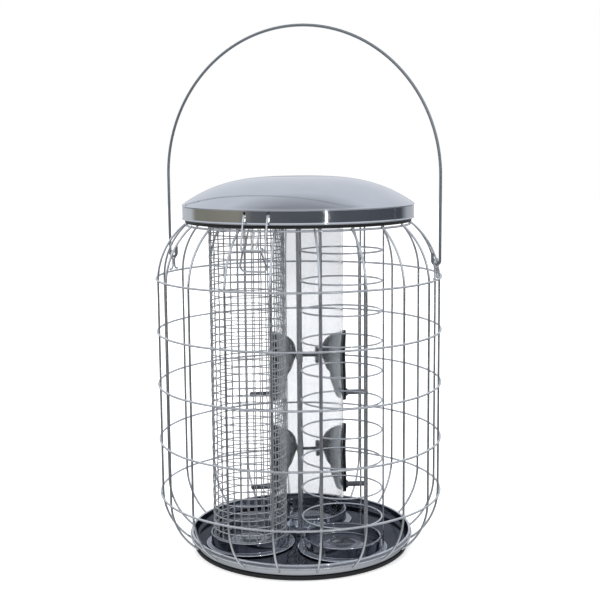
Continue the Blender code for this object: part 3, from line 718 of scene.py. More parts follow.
class FEEDER_OT_cups(bpy.types.Operator):
    """Three pressed cups that the tubes stand in"""

    bl_idname = "feeder.cups"
    bl_label = "Tube cups"

    def execute(self, context):
        for node in CUP_RADIUS:
            low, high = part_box(node)
            center = box_center(node)
            flange = (high.x - low.x) / 2
            outside = CUP_RADIUS[node]
            sheet = 0.8 * MM
            bead = 0.95 * MM
            bottom = low.z
            floor = bottom + 1.0 * MM
            bead_center = (outside - sheet / 2, high.z - bead)
            profile = [(0, bottom), (flange - 0.5 * MM, bottom)]
            profile += arc((flange - 0.5 * MM, bottom + 0.5 * MM), 0.5 * MM, -90, 90, 4)
            profile += [(flange - 1.6 * MM, floor), (outside + 1.2 * MM, floor)]
            profile += [(outside + 0.35 * MM, floor + 0.25 * MM), (outside, floor + 1.0 * MM)]
            profile += arc(bead_center, bead, -65, 245, 10)
            inside = outside - sheet
            boss = floor + 2.4 * MM
            dimple = floor + 2.0 * MM
            profile += [(inside, floor + 1.4 * MM), (inside - 0.4 * MM, floor + 0.35 * MM)]
            profile += [(inside - 1.4 * MM, floor), (22.4 * MM, floor)]
            profile += [(21.4 * MM, floor + 0.4 * MM), (20.6 * MM, floor + 1.9 * MM)]
            profile += [(19.6 * MM, boss), (9 * MM, boss), (8.2 * MM, dimple), (0, dimple)]
            cup = turned("pressed_" + node, profile, 96, (center.x, center.y))
            pressed(cup, node)
            middle = (center.x, center.y)
            # Painted reflection: the cups' inside and flange take the darker finish.
            second_finish(
                cup, finish_of("painted_cup_reflection"), lambda face: gets_painted_reflection(face, middle, flange, bottom)
            )
        return {"FINISHED"}


class FEEDER_OT_rod(bpy.types.Operator):
    """Centre rod with its nuts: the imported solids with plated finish"""

    bl_idname = "feeder.rod"
    bl_label = "Centre rod"

    def execute(self, context):
        for node in ("centre_rod", "rod_nut", "rod_lock_nut", "rod_cap_nut"):
            piece = frame["nodes"][node]
            for slot in piece.material_slots:
                slot.material = finish_of("zinc")
        return {"FINISHED"}


# ------------------------------------------------------------------ cage


def upright_path():
    """(radius, height) points of one upright from the bottom ring to the top ring."""
    reach = CAGE_WIRE + sizes().upright_wire - sizes().weld_depth
    slope_low = math.radians(BOTTOM_SLOPE)
    slope_high = math.radians(TOP_SLOPE)
    straight = CAGE_RADIUS - reach
    low_ring = box_center("bottom_ring").z
    high_ring = box_center("top_ring").z
    beyond = 0.8 * MM
    low = (
        BOTTOM_RING_RADIUS + reach * math.cos(slope_low) - beyond * math.sin(slope_low),
        low_ring - reach * math.sin(slope_low) - beyond * math.cos(slope_low),
    )
    high = (TOP_RING_RADIUS + reach * math.cos(slope_high), high_ring + reach * math.sin(slope_high))
    low_bend = (straight - low[0]) / (1 - math.cos(slope_low))
    high_bend = (straight - high[0]) / (1 - math.cos(slope_high))
    low_start = low[1] + low_bend * math.sin(slope_low)
    high_start = high[1] - high_bend * math.sin(slope_high)
    path = arc((straight - low_bend, low_start), low_bend, -BOTTOM_SLOPE, 0, 14)
    path += [(straight, low_start + (high_start - low_start) * step / 6) for step in range(1, 6)]
    path += arc((straight - high_bend, high_start), high_bend, 0, TOP_SLOPE, 14)
    return path


class FEEDER_OT_cage(bpy.types.Operator):
    """Guard cage: uprights, hoops and the two end rings, spot-welded where they cross"""

    bl_idname = "feeder.cage"
    bl_label = "Guard cage"

    def execute(self, context):
        sides = sizes().wire_sides
        path = [(radius, 0, height) for radius, height in upright_path()]
        first = wire("bent_" + UPRIGHTS[0], path, sizes().upright_wire, sides)
        weld = weld_bead()
        turns = [
            Matrix.Rotation(FULL_TURN * (index + 0.5) / len(UPRIGHTS), 4, "Z")
            for index in range(len(UPRIGHTS))
        ]
        for node, turn in zip(UPRIGHTS, turns):
            plated(copied(first, "bent_" + node, turn), node)
        bpy.data.objects.remove(first, do_unlink=True)
        for node in [*HOOPS, "top_ring", "bottom_ring"]:
            height = box_center(node).z
            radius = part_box(node)[1].x - CAGE_WIRE
            name = "welded_" + node
            ring = round_ring(name, radius, height, CAGE_WIRE, sides, 160, weld_turn=WELD_TURN)
            if node in HOOPS:
                middle = radius - CAGE_WIRE + sizes().weld_depth / 2
                spot = Matrix.Translation((middle, 0, height))
                ring = joined(name, [ring, *(copied(weld, "bead", turn @ spot) for turn in turns)])
            plated(ring, node)
        bpy.data.objects.remove(weld, do_unlink=True)
        return {"FINISHED"}


def weld_bead():
    """A small flattened bead of weld, where two wires have run together."""
    deselect_all()
    bpy.ops.mesh.primitive_ico_sphere_add(subdivisions=2, radius=1.0 * MM)
    bead = bpy.context.object
    bpy.ops.object.mode_set(mode="EDIT")
    bpy.ops.transform.resize(value=(0.62, 1.25, 1.25))
    object_mode()
    smooth(bead, 180)
    return bead


# ------------------------------------------------------------------ tubes


class FEEDER_OT_mesh_tube(bpy.types.Operator):
    """Peanut tube of square woven mesh"""

    bl_idname = "feeder.mesh_tube"
    bl_label = "Mesh tube"

    def execute(self, context):
        center = (MESH_CENTER.x, MESH_CENTER.y)
        wire_radius = sizes().mesh_wire
        radius = MESH_RADIUS - 2 * wire_radius
        pitch = sizes().mesh_pitch
        count = round(FULL_TURN * radius / pitch)
        rows = int((TUBE_TOP - TUBE_BOTTOM - 2 * MM) / pitch)
        start = TUBE_BOTTOM + (TUBE_TOP - TUBE_BOTTOM - rows * pitch) / 2
        weave = 0.55 * wire_radius
        strands = []
        for first_side in (1, -1):
            line = []
            for row in range(rows + 1):
                side = first_side if row % 2 else -first_side
                line.append((radius + side * weave, 0, start + row * pitch))
            foot = (line[0][0], 0, TUBE_BOTTOM + 0.4 * MM)
            top = (line[-1][0], 0, TUBE_TOP - 0.4 * MM)
            strands.append(wire("strand", [foot, *line, top], wire_radius, 6))
        pieces = []
        middle = Matrix.Translation((*center, 0))
        for index in range(count):
            turn = Matrix.Rotation(FULL_TURN * index / count, 4, "Z")
            pieces.append(copied(strands[index % 2], "strand", middle @ turn))
        for strand in strands:
            bpy.data.objects.remove(strand, do_unlink=True)
        ring = round_ring("row", radius, 0, wire_radius, 6, count * 2)
        for row in range(rows + 1):
            lift = Matrix.Translation((*center, start + row * pitch))
            pieces.append(copied(ring, "row", lift))
        bpy.data.objects.remove(ring, do_unlink=True)
        tube = joined("woven_mesh_tube", pieces)
        smooth(tube, 60)
        finished(tube, "feeder", finish_of("mesh"), "mesh_tube")
        return {"FINISHED"}


class FEEDER_OT_fat_ball_holder(bpy.types.Operator):
    """Fat-ball holder: wire rings spot-welded to upright wires"""

    bl_idname = "feeder.fat_ball_holder"
    bl_label = "Fat-ball holder"

    def execute(self, context):
        center = (FAT_BALL_CENTER.x, FAT_BALL_CENTER.y)
        weld_turn = HOLDER_PHASE + math.pi
        pieces = []
        for index in range(HOLDER_RINGS):
            height = HOLDER_FIRST_RING + index * HOLDER_PITCH
            ring = round_ring("ring", HOLDER_RADIUS, height, HOLDER_WIRE, 10, 72, center, weld_turn)
            pieces.append(ring)
        reach = HOLDER_RADIUS + 2 * HOLDER_WIRE - HOLDER_WELD
        levels = (TUBE_BOTTOM, (TUBE_BOTTOM + TUBE_TOP) / 2, TUBE_TOP)
        upright = wire("upright", [(reach, 0, level) for level in levels], HOLDER_WIRE, 10)
        for index in range(HOLDER_UPRIGHTS):
            turn = Matrix.Rotation(HOLDER_PHASE + FULL_TURN * index / HOLDER_UPRIGHTS, 4, "Z")
            pieces.append(copied(upright, "upright", Matrix.Translation((*center, 0)) @ turn))
        bpy.data.objects.remove(upright, do_unlink=True)
        plated(joined("welded_fat_ball_holder", pieces), "fat_ball_holder")
        return {"FINISHED"}


def port_place(label):
    """Local axes of a port: X out through the tube's wall, Y across, Z up, at its widest height."""
    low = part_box("port_" + label)[0]
    widest = low.z + PORT_LAP + PORT_DOWN
    turn = PORT_TURN if label.endswith("right") else PORT_TURN + math.pi
    return Matrix.Translation((SEED_CENTER.x, SEED_CENTER.y, widest)) @ Matrix.Rotation(turn, 4, "Z")


def hood_depth(up):
    """How far the hood stands in from the wall: round on top, tapering to a tongue at the foot."""
    if up > 0:
        return PORT_DEPTH * math.sqrt(max(0.0, 1 - (up / PORT_UP) ** 3))
    share = min(1.0, -up / PORT_DOWN)
    taper = PORT_DEPTH + (PORT_TONGUE - PORT_DEPTH) * min(1.0, share / 0.8)
    return taper * math.sqrt(1 - share**12)


def half_width(up):
    """Half the port's width at a height: pear-shaped, narrower below."""
    reach = PORT_UP if up > 0 else PORT_DOWN
    share = min(1.0, abs(up) / reach)
    return PORT_WIDTH * math.sqrt(1 - share**2) * (1 - 0.3 * share if up < 0 else 1)


def port_outline(grow, count, down=PORT_DOWN):
    """(across, up) points of a port's pear-shaped outline about its widest height."""
    points = []
    for index in range(count):
        angle = FULL_TURN * index / count
        up = math.sin(angle)
        narrow = 1 - 0.3 * max(0.0, -up)
        reach = PORT_UP if up > 0 else down
        points.append(((PORT_WIDTH + grow) * math.cos(angle) * narrow, (reach + grow) * up))
    return points


def hood_row(outline, share, thickness):
    """One loop of the hood's surface: deep in the middle, shallow towards the outline."""
    row = []
    for across, up in outline:
        y, z = across * share, up * share
        width = max(half_width(z), 1e-6)
        level = math.sqrt(max(0.0, 1 - (y / width) ** 2))
        row.append((SEED_RADIUS - max(0.0, hood_depth(z) * level - thickness), y, z))
    return row


def wrapped(piece, radius):
    """Bends a flat piece, drawn at X = radius, round the tube's wall."""
    for vertex in piece.data.vertices:
        across = max(-radius, min(radius, vertex.co.y))
        vertex.co.x += math.sqrt(radius**2 - across**2) - radius
    piece.data.update()
    return piece


def port_shell(name):
    """A hooded bowl pressed in through the wall: flange outside, rounded hood inside the tube."""
    count = 56
    front = SEED_RADIUS + PORT_FRONT
    back = SEED_RADIUS + 0.3 * MM
    hollow = port_outline(-PORT_WALL, count, down=31.0 * MM)
    flange = port_outline(PORT_LAP, count)
    collar = port_outline(-0.3 * MM, count)
    rows = [hood_row(hollow, share, PORT_WALL) for share in (0.2, 0.4, 0.58, 0.74, 0.86, 0.95)]
    rows.append([(SEED_RADIUS, y, z) for y, z in hollow])
    rows.append([(front - 0.4 * MM, y, z) for y, z in hollow])
    rows.append([(front, y * 1.05, z * 1.015) for y, z in hollow])
    rows.append([(front, y * 0.96, z * 0.988) for y, z in flange])
    rows.append([(front - 0.4 * MM, y, z) for y, z in flange])
    rows.append([(back, y, z) for y, z in flange])
    rows.append([(back, y, z) for y, z in collar])
    rows += [hood_row(collar, share, 0) for share in (0.995, 0.97, 0.92, 0.84, 0.72, 0.56, 0.38, 0.18)]
    return lofted(name, rows)


def lofted(name, rows):
    """Loops of points, each drawn, extruded from the last one and capped at both ends."""
    count = len(rows[0])
    deselect_all()
    bpy.ops.mesh.primitive_circle_add(vertices=count, radius=MM)
    piece = named(bpy.context.object, name)
    bpy.ops.object.mode_set(mode="EDIT")
    bpy.ops.mesh.select_all(action="SELECT")
    for _ in rows[1:]:
        bpy.ops.mesh.extrude_region_move(TRANSFORM_OT_translate={"value": (0, 0, MM)})
    object_mode()
    levels = sorted({round(vertex.co.z / MM) for vertex in piece.data.vertices})
    order = {level: index for index, level in enumerate(levels)}
    for vertex in piece.data.vertices:
        row = rows[order[round(vertex.co.z / MM)]]
        turn = math.atan2(-vertex.co.x, vertex.co.y) % FULL_TURN
        vertex.co = row[round(turn / FULL_TURN * count) % count]
    for end in (rows[0], rows[-1]):
        cap_loop(piece, end)
    return clean(piece, 35)


def cap_loop(piece, loop):
    """Closes an end with a point at its middle."""
    choose(piece)
    bpy.ops.object.mode_set(mode="EDIT")
    bpy.ops.mesh.select_mode(type="VERT")
    bpy.ops.mesh.select_all(action="DESELECT")
    object_mode()
    targets = [Vector(point) for point in loop]
    for vertex in piece.data.vertices:
        vertex.select = any((vertex.co - target).length < 1e-6 for target in targets)
    bpy.ops.object.mode_set(mode="EDIT")
    bpy.ops.mesh.extrude_region_move(TRANSFORM_OT_translate={"value": (0, 0, 0)})
    bpy.ops.mesh.merge(type="CENTER")
    object_mode()


def seed_hole_cutter(place):
    deselect_all()
    bpy.ops.mesh.primitive_cylinder_add(vertices=32, radius=SEED_HOLE, depth=16 * MM)
    cutter = bpy.context.object
    spot = Matrix.Translation((13.5 * MM, 0, -SEED_HOLE_DROP))
    placed(cutter, place @ spot @ Matrix.Rotation(QUARTER, 4, "Y"))
    return cutter


class FEEDER_OT_ports(bpy.types.Operator):
    """Feeding ports with hoods, perches under them, and the tie screws between opposite ports"""

    bl_idname = "feeder.ports"
    bl_label = "Ports and perches"

    def execute(self, context):
        shell = port_shell("port")
        wrapped(shell, SEED_RADIUS)
        for label in PORT_NODES:
            place = port_place(label)
            port = copied(shell, "cast_port_" + label, place)
            cut(port, seed_hole_cutter(place))
            clean(port, 35)
            cast(port, "port_" + label, "hood")
            # Painted shade: the flange outside the tube takes the black finish.
            second_finish(port, finish_of("plastic"), is_on_shaded_flange)
            make_perch("perch_" + label, place)
        bpy.data.objects.remove(shell, do_unlink=True)
        for level in ("upper", "lower"):
            make_tie_screw("tie_screw_" + level, port_place(level + "_right"))
        return {"FINISHED"}


def is_on_shaded_flange(face):
    """Whether a face of a port belongs to its flange outside the tube, which is painted black for
    shade.
    """
    return (face.center.xy - SEED_CENTER.xy).length > SEED_RADIUS + PORT_FLANGE_START


def make_perch(node, place):
    """A round peg with a collar at its root and a rounded tip."""
    start = SEED_RADIUS + PORT_FRONT
    edge = SEED_RADIUS + PERCH_REACH - PERCH_EDGE
    profile = [(0, start), (3.6 * MM, start), (3.6 * MM, start + 1.2 * MM)]
    profile += [(3.1 * MM, start + 1.7 * MM), (PERCH_RADIUS, start + 1.9 * MM), (PERCH_RADIUS, edge)]
    profile += arc((PERCH_RADIUS - PERCH_EDGE, edge), PERCH_EDGE, 15, 90, 4)
    profile += [(0, SEED_RADIUS + PERCH_REACH)]
    perch = turned("cast_" + node, profile, 24)
    flat = place.copy()
    flat.translation.z = box_center(node).z
    placed(perch, flat @ Matrix.Rotation(QUARTER, 4, "Y"))
    cast(clean(perch), node)


def make_tie_screw(node, place):
    """A thin screw across the tube, with a bush against the hood at each end."""
    reach = SEED_RADIUS - PORT_DEPTH
    half = [(0, reach), (3.4 * MM, reach), (6.6 * MM, reach - 2.2 * MM)]
    half += [(BUSH_RADIUS, reach - 3.2 * MM), (BUSH_RADIUS, reach - 5.0 * MM)]
    half += [(6.8 * MM, reach - 5.6 * MM), (TIE_RADIUS, reach - 5.8 * MM)]
    profile = half + [(radius, -up) for radius, up in reversed(half)]
    tie = turned("bushed_" + node, profile, 32)
    placed(tie, place @ Matrix.Rotation(QUARTER, 4, "Y"))
    cast(clean(tie), node)


class FEEDER_OT_seed_tube(bpy.types.Operator):
    """Clear extruded tube with four openings for the ports"""

    bl_idname = "feeder.seed_tube"
    bl_label = "Seed tube"

    def execute(self, context):
        inside = SEED_RADIUS - 1.5 * MM
        center = (SEED_CENTER.x, SEED_CENTER.y)
        profile = [(inside, TUBE_BOTTOM + 0.3 * MM), (inside + 0.3 * MM, TUBE_BOTTOM)]
        profile += [(SEED_RADIUS - 0.3 * MM, TUBE_BOTTOM), (SEED_RADIUS, TUBE_BOTTOM + 0.3 * MM)]
        profile += [(SEED_RADIUS, TUBE_TOP - 0.3 * MM), (SEED_RADIUS - 0.3 * MM, TUBE_TOP)]
        profile += [(inside + 0.3 * MM, TUBE_TOP), (inside, TUBE_TOP - 0.3 * MM)]
        tube = turned("extruded_seed_tube", profile, 96, center, 40)
        for label in PORT_NODES:
            outline = [(14 * MM, y, z) for y, z in port_outline(0.0, 48)]
            cutter = extruded("opening", outline, (26 * MM, 0, 0))
            placed(cutter, port_place(label))
            cut(tube, cutter)
        smooth(tube, 40)
        finished(tube, "feeder", finish_of("acrylic"), "seed_tube")
        return {"FINISHED"}


# ------------------------------------------------------------------ lid, hinge and latch


def dome_height(radius, shoulder, rise):
    return shoulder + rise * (1 - (radius / LID_RADIUS) ** LID_CURVE)


class FEEDER_OT_lid(bpy.types.Operator):
    """Domed lid: spun dome crimped to a straight band, with an inner lip painted black for the shade
    under the band, and two latch slots
    """

    bl_idname = "feeder.lid"
    bl_label = "Lid"

    def execute(self, context):
        low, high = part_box("lid")
        sheet = sizes().lid_sheet
        rise = sizes().lid_rise
        shoulder = high.z - rise
        band_bottom = low.z + LIP_DROP
        lip = LID_RADIUS - LIP_INSET
        band = LID_RADIUS - 0.35 * MM
        stations = [LID_RADIUS * step / 24 for step in range(0, 23)]
        edge = [LID_RADIUS - 4.2 * MM, LID_RADIUS - 1.6 * MM]
        profile = [(r, dome_height(r, shoulder, rise)) for r in stations + edge]
        profile += arc((LID_RADIUS - 0.8 * MM, shoulder - 0.45 * MM), 0.8 * MM, 75, -40, 6)
        profile += [(band, shoulder - 1.2 * MM), (band, shoulder - 1.7 * MM)]
        profile += [(band, band_bottom + 2.1 * MM), (band, band_bottom + 1.6 * MM)]
        profile += arc((LID_RADIUS - 0.75 * MM, band_bottom + 0.75 * MM), 0.75 * MM, 50, -90, 6)
        profile += [(lip, band_bottom), (lip, low.z)]
        profile += [(lip - LIP_SHEET, low.z), (lip - LIP_SHEET, band_bottom + sheet)]
        inside = LID_RADIUS - sheet - 0.35 * MM
        profile += [(inside, band_bottom + sheet), (inside, shoulder - sheet - 0.6 * MM)]
        profile += [(r, dome_height(r, shoulder, rise) - sheet) for r in reversed(stations)]
        lid = turned("domed_lid", profile, 160)
        pivot = Vector(JOINTS["latch_link_hinge"]["pos_m"])
        for side in (-1, 1):
            deselect_all()
            bpy.ops.mesh.primitive_cube_add(size=1)
            cutter = bpy.context.object
            bpy.ops.object.mode_set(mode="EDIT")
            bpy.ops.transform.resize(value=(2.6 * MM, 12 * MM, 8.0 * MM))
            bpy.ops.mesh.bevel(offset=1.2 * MM, segments=4)
            object_mode()
            spot = (side * LATCH_HALF_WIDTH, pivot.y, pivot.z - 1.5 * MM)
            placed(cutter, Matrix.Translation(spot))
            cut(lid, cutter)
        smooth(lid, 28)
        pressed(lid, "lid", "lid")

        # Painted shade: the lip under the band takes the black finish.
        def lip_in_painted_shade(face):
            middle = face.center
            return middle.z < band_bottom + 0.1 * MM and middle.xy.length < lip + 0.05 * MM

        second_finish(lid, finish_of("plastic"), lip_in_painted_shade)
        return {"FINISHED"}


class FEEDER_OT_lid_hinge(bpy.types.Operator):
    """Wire loop on the cage and the curled strap on the lid that turns about it"""

    bl_idname = "feeder.lid_hinge"
    bl_label = "Lid hinge"

    def execute(self, context):
        axis = Vector(JOINTS["lid_hinge"]["pos_m"])
        half = HINGE_HALF_WIDTH
        side_reach = math.sqrt(TOP_RING_RADIUS**2 - half**2)
        foot_y = side_reach + CAGE_WIRE + HINGE_WIRE - 0.1 * MM
        foot_z = box_center("top_ring").z - 1.0 * MM
        points = [(-half, foot_y, foot_z), (-half, axis.y, axis.z)]
        points += [(half, axis.y, axis.z), (half, foot_y, foot_z)]
        plated(wire("bent_hinge_loop", rounded(points, 1.6 * MM), HINGE_WIRE), "lid_hinge_loop")
        low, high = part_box("lid_hinge_strap")
        bore = 1.1 * MM
        outer = 2.0 * MM
        tail = 0.9 * MM
        tail_in = low.y + 0.05 * MM
        outline = [(tail_in, high.z), (tail_in + tail, high.z)]
        outline += [(axis.y + y, axis.z + z) for y, z in arc((0, 0), outer, 128, -180, 20)]
        outline += [(axis.y + y, axis.z + z) for y, z in arc((0, 0), bore, -180, 100, 18)]
        outline += [(tail_in, axis.z + bore + 0.15 * MM)]
        outline = [(low.x, y, z) for y, z in outline]
        strap = extruded("curled_hinge_strap", outline, (high.x - low.x, 0, 0))
        bevelled(strap, 0.12 * MM, 2, 50)
        pressed(clean(strap, 30), "lid_hinge_strap", "lid")
        return {"FINISHED"}


class FEEDER_OT_latch(bpy.types.Operator):
    """Latch: wire link through the lid's band, finger lever hooked on it, and the keeper on the cage"""

    bl_idname = "feeder.latch"
    bl_label = "Latch"

    def execute(self, context):
        top = Vector(JOINTS["latch_link_hinge"]["pos_m"])
        low = Vector(JOINTS["latch_lever_hinge"]["pos_m"])
        half = LATCH_HALF_WIDTH
        side = [(low.y, low.z), (top.y - 2.1 * MM, top.z - 3.0 * MM), (top.y, top.z)]
        side += [(top.y + 2.5 * MM, top.z + 0.3 * MM)]
        points = [(half, y, z) for y, z in side] + [(-half, y, z) for y, z in reversed(side)]
        link = wire("bent_latch_link", rounded(points, 1.9 * MM, closed=True), LATCH_WIRE)
        plated(link, "latch_link", "latch_link")

        hook = arc((low.y, low.z), 2 * LATCH_WIRE + 0.2 * MM, -20, 180, 12)
        wide = LEVER_HALF_WIDTH
        tip = low.z - LEVER_LENGTH
        arm = [(-LEVER_HOOK_OFFSET, y, z) for y, z in hook]
        lower = [(-wide, low.y + 1.0 * MM, tip + 3.5 * MM), (-wide + 2.2 * MM, low.y + 2.5 * MM, tip)]
        lower += [(wide - 2.2 * MM, low.y + 2.5 * MM, tip), (wide, low.y + 1.0 * MM, tip + 3.5 * MM)]
        path = arm + lower + [(-x, y, z) for x, y, z in reversed(arm)]
        ends = len(arm) - 1
        bent = rounded(path[ends:-ends], 1.8 * MM)
        lever = wire("bent_latch_lever", path[:ends] + bent + path[-ends:], LATCH_WIRE)
        plated(lever, "latch_lever", "latch_lever")

        corner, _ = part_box("latch_keeper")
        spread = KEEPER_HALF_WIDTH
        foot = (corner.y + 1.0 * MM, corner.z + 0.35 * MM)
        reach = TOP_RING_RADIUS + CAGE_WIRE + KEEPER_WIRE - 0.15 * MM
        bar = (-reach, box_center("top_ring").z + 0.3 * MM)
        points = [(-spread, *foot), (-spread, *bar), (spread, *bar), (spread, *foot)]
        plated(wire("bent_latch_keeper", rounded(points, 1.8 * MM), KEEPER_WIRE), "latch_keeper")
        return {"FINISHED"}


# ------------------------------------------------------------------ bail


class FEEDER_OT_bail(bpy.types.Operator):
    """Bail handle with hooked ends, and the two eyes it swings in"""

    bl_idname = "feeder.bail"
    bl_label = "Bail"

    def execute(self, context):
        joint = JOINTS["bail_swing"]
        turn = Matrix.Rotation(math.atan2(joint["axis"][1], joint["axis"][0]), 4, "Z")
        pivot = joint["pos_m"][2]
        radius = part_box("hoop_1")[1].x - CAGE_WIRE
        hook = BAIL_HOOK
        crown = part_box("bail")[1].z - BAIL_WIRE
        arch = radius + hook
        half = [(radius - hook, pivot + BAIL_TAIL), (radius - hook, pivot + 6.0 * MM)]
        half += arc((radius, pivot + hook), hook, -180, 0, 16)
        straight = crown - arch - pivot - hook
        half += [(arch, pivot + hook + straight * share) for share in (0.33, 0.66)]
        half += arc((0, crown - arch), arch, 0, 90, 40)
        outline = half + [(-across, up) for across, up in reversed(half[:-1])]
        points = [turn @ Vector((across, 0, up)) for across, up in outline]
        bail = wire("bent_bail", points, BAIL_WIRE, 16)
        finished(bail, "bail", finish_of("bail"), "bail")

        low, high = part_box("bail_eye_right")
        center = high.z - EYE_WIRE - EYE_LOOP
        foot = low.z + EYE_WIRE - 0.2 * MM
        neck = math.degrees(math.asin(EYE_NECK / EYE_LOOP))
        left = [(-7.0 * MM, foot), (-3.2 * MM, foot + 0.2 * MM), (-1.5 * MM, foot + 3.0 * MM)]
        ring = arc((0, center), EYE_LOOP, 270 - neck, -90 + neck, 28)
        outline = left + ring + [(-across, up) for across, up in reversed(left)]
        soft = rounded([(0, across, up) for across, up in outline], 1.2 * MM, 3)
        for hand, flip in (("right", 0.0), ("left", math.pi)):
            place = turn @ Matrix.Rotation(flip, 4, "Z") @ Matrix.Translation((radius, 0, 0))
            eye = wire("bent_eye_" + hand, [place @ point for point in soft], EYE_WIRE)
            plated(eye, "bail_eye_" + hand)
        return {"FINISHED"}


# ------------------------------------------------------------------ stage


CAMERA_TURN = math.radians(19.5)
CAMERA_DISTANCE = 0.9693
CAMERA_HEIGHT = 0.3474
CAMERA_PITCH = math.radians(7.72)
CAMERA_ROLL = math.radians(-0.51)

# What polished metal reflects by height in degrees: pale floor, dim skirting, pale walls and
# a grey ceiling. At eye level it goes by bearing from the camera instead: a dim room in front,
# a warm wall to the left and a pale wall behind.
ROOM_BY_HEIGHT = [(-90, "#E0E1E3"), (-40, "#B0B3B6"), (-12, "#5A5D61"), (0, "#70757C")]
ROOM_BY_HEIGHT += [(5, "#DDE1E9"), (50, "#DDE1E9"), (70, "#A2A5AC"), (90, "#9C9FA6")]
ROOM_BY_BEARING = [(-180, "#CCCFD3"), (-130, "#CCCFD3"), (-120, "#8C8A80"), (-60, "#9A978A")]
ROOM_BY_BEARING += [(-45, "#66686C"), (0, "#5A5E64"), (120, "#50545C"), (135, "#B8BCC0")]
ROOM_BY_BEARING += [(180, "#CCCFD3")]
EYE_LEVEL = [(-13, 0.0), (-10, 1.0), (-1, 1.0), (3, 0.0)]


def around(turn, distance, height):
    return Vector((math.sin(turn) * distance, -math.cos(turn) * distance, height))


def soft_light(name, turn_degrees, distance, height, width, tall, power, aim_height=0.2):
    """A soft box, which polished metal doesn't mirror."""
    light = bpy.data.lights.new(name, "AREA")
    light.shape = "RECTANGLE"
    light.size = width
    light.size_y = tall
    light.energy = power
    lamp = bpy.data.objects.new(name, light)
    bpy.context.scene.collection.objects.link(lamp)
    place = around(CAMERA_TURN + math.radians(turn_degrees), distance, height)
    lamp.location = place
    lamp.rotation_euler = (Vector((0, 0, aim_height)) - place).to_track_quat("-Z", "Y").to_euler()
    lamp.visible_glossy = False
    return lamp


def calculated(world, operation, first, second=None, factor=None):
    """The result of a sum on one or two outputs, or on an output and a plain factor."""
    links = {0: first} if second is None else {0: first, 1: second}
    values = {} if factor is None else {1: factor}
    settings = {"operation": operation}
    return add_node(world, "ShaderNodeMath", settings, values, links).outputs["Value"]


def tones_along(world, value, limit, stops):
    """A ramp over a value between -limit and limit, with its stops at (share, colour)."""
    values = {"From Min": -limit, "From Max": limit}
    share = add_node(world, "ShaderNodeMapRange", values=values, links={"Value": value})
    ramp = add_node(world, "ShaderNodeValToRGB", links={"Fac": share.outputs["Result"]})
    return set_ramp(ramp, stops).outputs["Color"]


def make_world():
    """Plain white all round, but polished metal reflects a darker room with a pale ceiling."""
    world = bpy.data.worlds.new("soft_studio")
    bpy.context.scene.world = world
    world.use_nodes = True
    tree = world.node_tree
    tree.nodes.clear()
    direction = add_node(world, "ShaderNodeTexCoord").outputs["Generated"]
    turned_round = add_node(
        world,
        "ShaderNodeVectorRotate",
        settings={"rotation_type": "Z_AXIS"},
        values={"Angle": -CAMERA_TURN},
        links={"Vector": direction},
    )
    straight = turned_round.outputs["Vector"]
    split = add_node(world, "ShaderNodeSeparateXYZ", links={"Vector": straight})
    rise = calculated(world, "ARCSINE", split.outputs["Z"])
    toward = calculated(world, "MULTIPLY", split.outputs["Y"], factor=-1.0)
    bearing = calculated(world, "ARCTAN2", split.outputs["X"], toward)
    by_height = [(0.5 + degrees / 180, linear(tone)) for degrees, tone in ROOM_BY_HEIGHT]
    by_bearing = [(0.5 + degrees / 360, linear(tone)) for degrees, tone in ROOM_BY_BEARING]
    by_level = [(0.5 + degrees / 180, grey(part)) for degrees, part in EYE_LEVEL]
    mixed = add_node(
        world,
        "ShaderNodeMixRGB",
        links={
            "Fac": tones_along(world, rise, QUARTER, by_level),
            "Color1": tones_along(world, rise, QUARTER, by_height),
            "Color2": tones_along(world, bearing, math.pi, by_bearing),
        },
    )
    glossy = add_node(world, "ShaderNodeLightPath").outputs["Is Glossy Ray"]
    reflected = add_node(world, "ShaderNodeBackground", links={"Color": mixed.outputs["Color"]})
    plain = add_node(world, "ShaderNodeBackground", values={"Color": linear("#FFFFFF")})
    shown = {"Fac": glossy, 1: plain.outputs["Background"], 2: reflected.outputs["Background"]}
    either = add_node(world, "ShaderNodeMixShader", links=shown)
    add_node(world, "ShaderNodeOutputWorld", links={"Surface": either.outputs["Shader"]})


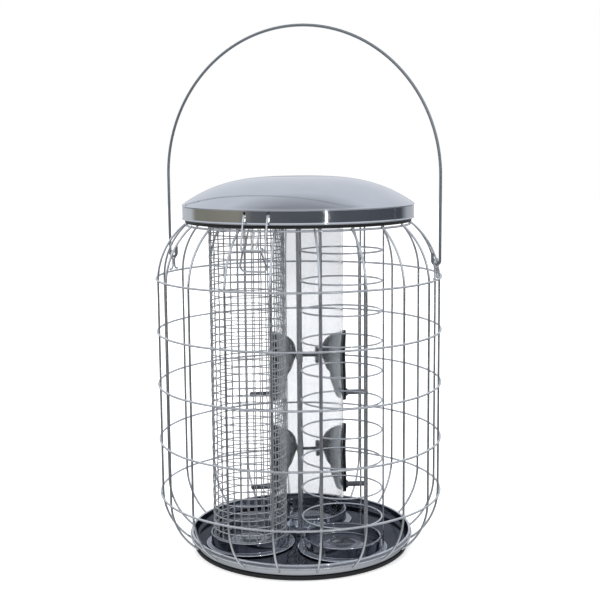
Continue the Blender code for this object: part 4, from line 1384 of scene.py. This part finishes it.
class FEEDER_OT_stage(bpy.types.Operator):
    """Pale floor, soft light and camera"""

    bl_idname = "feeder.stage"
    bl_label = "Stage"

    def execute(self, context):
        deselect_all()
        bpy.ops.mesh.primitive_circle_add(
            vertices=96, radius=6.0, fill_type="NGON", location=(0, 0, -0.2 * MM)
        )
        floor = bpy.context.object
        floor.name = "pale_floor"
        tone = linear(colours().floor)
        material, _ = new_material(
            "matt_white_sweep",
            Roughness=0.85,
            Base_Color=tone,
            Emission_Color=tone,
            Emission_Strength=0.35,
        )
        floor.data.materials.append(material)
        floor.visible_glossy = False

        make_world()
        soft_light("key_softbox", -40, 1.7, 1.3, 0.5, 1.4, 12)
        soft_light("side_softbox", 75, 1.8, 0.9, 0.35, 1.4, 8)
        soft_light("back_softbox", 200, 1.8, 0.8, 0.35, 1.2, 5)
        strip = soft_light("strip_light", 26.2, 2.3, 0.55, 0.035, 1.3, 1.2, aim_height=0.3)
        strip.visible_glossy = True  # draws one thin highlight along the polished wires
        soft_light("top_softbox", 180, 0.5, 1.8, 1.2, 1.2, 6)

        camera_data = bpy.data.cameras.new("camera")
        camera_data.lens = 67.88
        camera_data.sensor_width = 36
        camera_data.sensor_fit = "HORIZONTAL"
        camera_data.shift_x = 0.0017
        camera_data.clip_start = 0.01
        camera = bpy.data.objects.new("camera", camera_data)
        context.scene.collection.objects.link(camera)
        camera.location = around(CAMERA_TURN, CAMERA_DISTANCE, CAMERA_HEIGHT)
        aim = Matrix.Rotation(CAMERA_TURN, 4, "Z") @ Matrix.Rotation(QUARTER - CAMERA_PITCH, 4, "X")
        camera.rotation_euler = (aim @ Matrix.Rotation(CAMERA_ROLL, 4, "Z")).to_euler()
        context.scene.camera = camera
        context.scene.view_settings.view_transform = "Standard"
        return {"FINISHED"}


# ------------------------------------------------------------------ add-on


class FEEDER_PT_panel(bpy.types.Panel):
    """Lists the feeder's pieces"""

    bl_idname = "FEEDER_PT_panel"
    bl_label = "Bird feeder"
    bl_space_type = "VIEW_3D"
    bl_region_type = "UI"
    bl_category = "Feeder"

    def draw(self, context):
        for operator in OPERATORS:
            self.layout.operator(operator.bl_idname)
        for group in (context.scene.feeder_sizes, context.scene.feeder_colours):
            for name in group.bl_rna.properties.keys():
                if name not in ("rna_type", "name"):
                    self.layout.prop(group, name)


OPERATORS = (
    FEEDER_OT_base,
    FEEDER_OT_cups,
    FEEDER_OT_rod,
    FEEDER_OT_cage,
    FEEDER_OT_mesh_tube,
    FEEDER_OT_fat_ball_holder,
    FEEDER_OT_seed_tube,
    FEEDER_OT_ports,
    FEEDER_OT_lid,
    FEEDER_OT_lid_hinge,
    FEEDER_OT_latch,
    FEEDER_OT_bail,
    FEEDER_OT_stage,
)
CLASSES = (FeederSizes, FeederColours, *OPERATORS, FEEDER_PT_panel)


def register():
    for item in CLASSES:
        bpy.utils.register_class(item)
    bpy.types.Scene.feeder_sizes = bpy.props.PointerProperty(type=FeederSizes)
    bpy.types.Scene.feeder_colours = bpy.props.PointerProperty(type=FeederColours)


def unregister():
    del bpy.types.Scene.feeder_colours
    del bpy.types.Scene.feeder_sizes
    for item in reversed(CLASSES):
        bpy.utils.unregister_class(item)


def main():
    register()
    bpy.ops.feeder.base()
    bpy.ops.feeder.cups()
    bpy.ops.feeder.rod()
    bpy.ops.feeder.cage()
    bpy.ops.feeder.mesh_tube()
    bpy.ops.feeder.fat_ball_holder()
    bpy.ops.feeder.seed_tube()
    bpy.ops.feeder.ports()
    bpy.ops.feeder.lid()
    bpy.ops.feeder.lid_hinge()
    bpy.ops.feeder.latch()
    bpy.ops.feeder.bail()
    bpy.ops.feeder.stage()


if __name__ == "__main__":
    main()
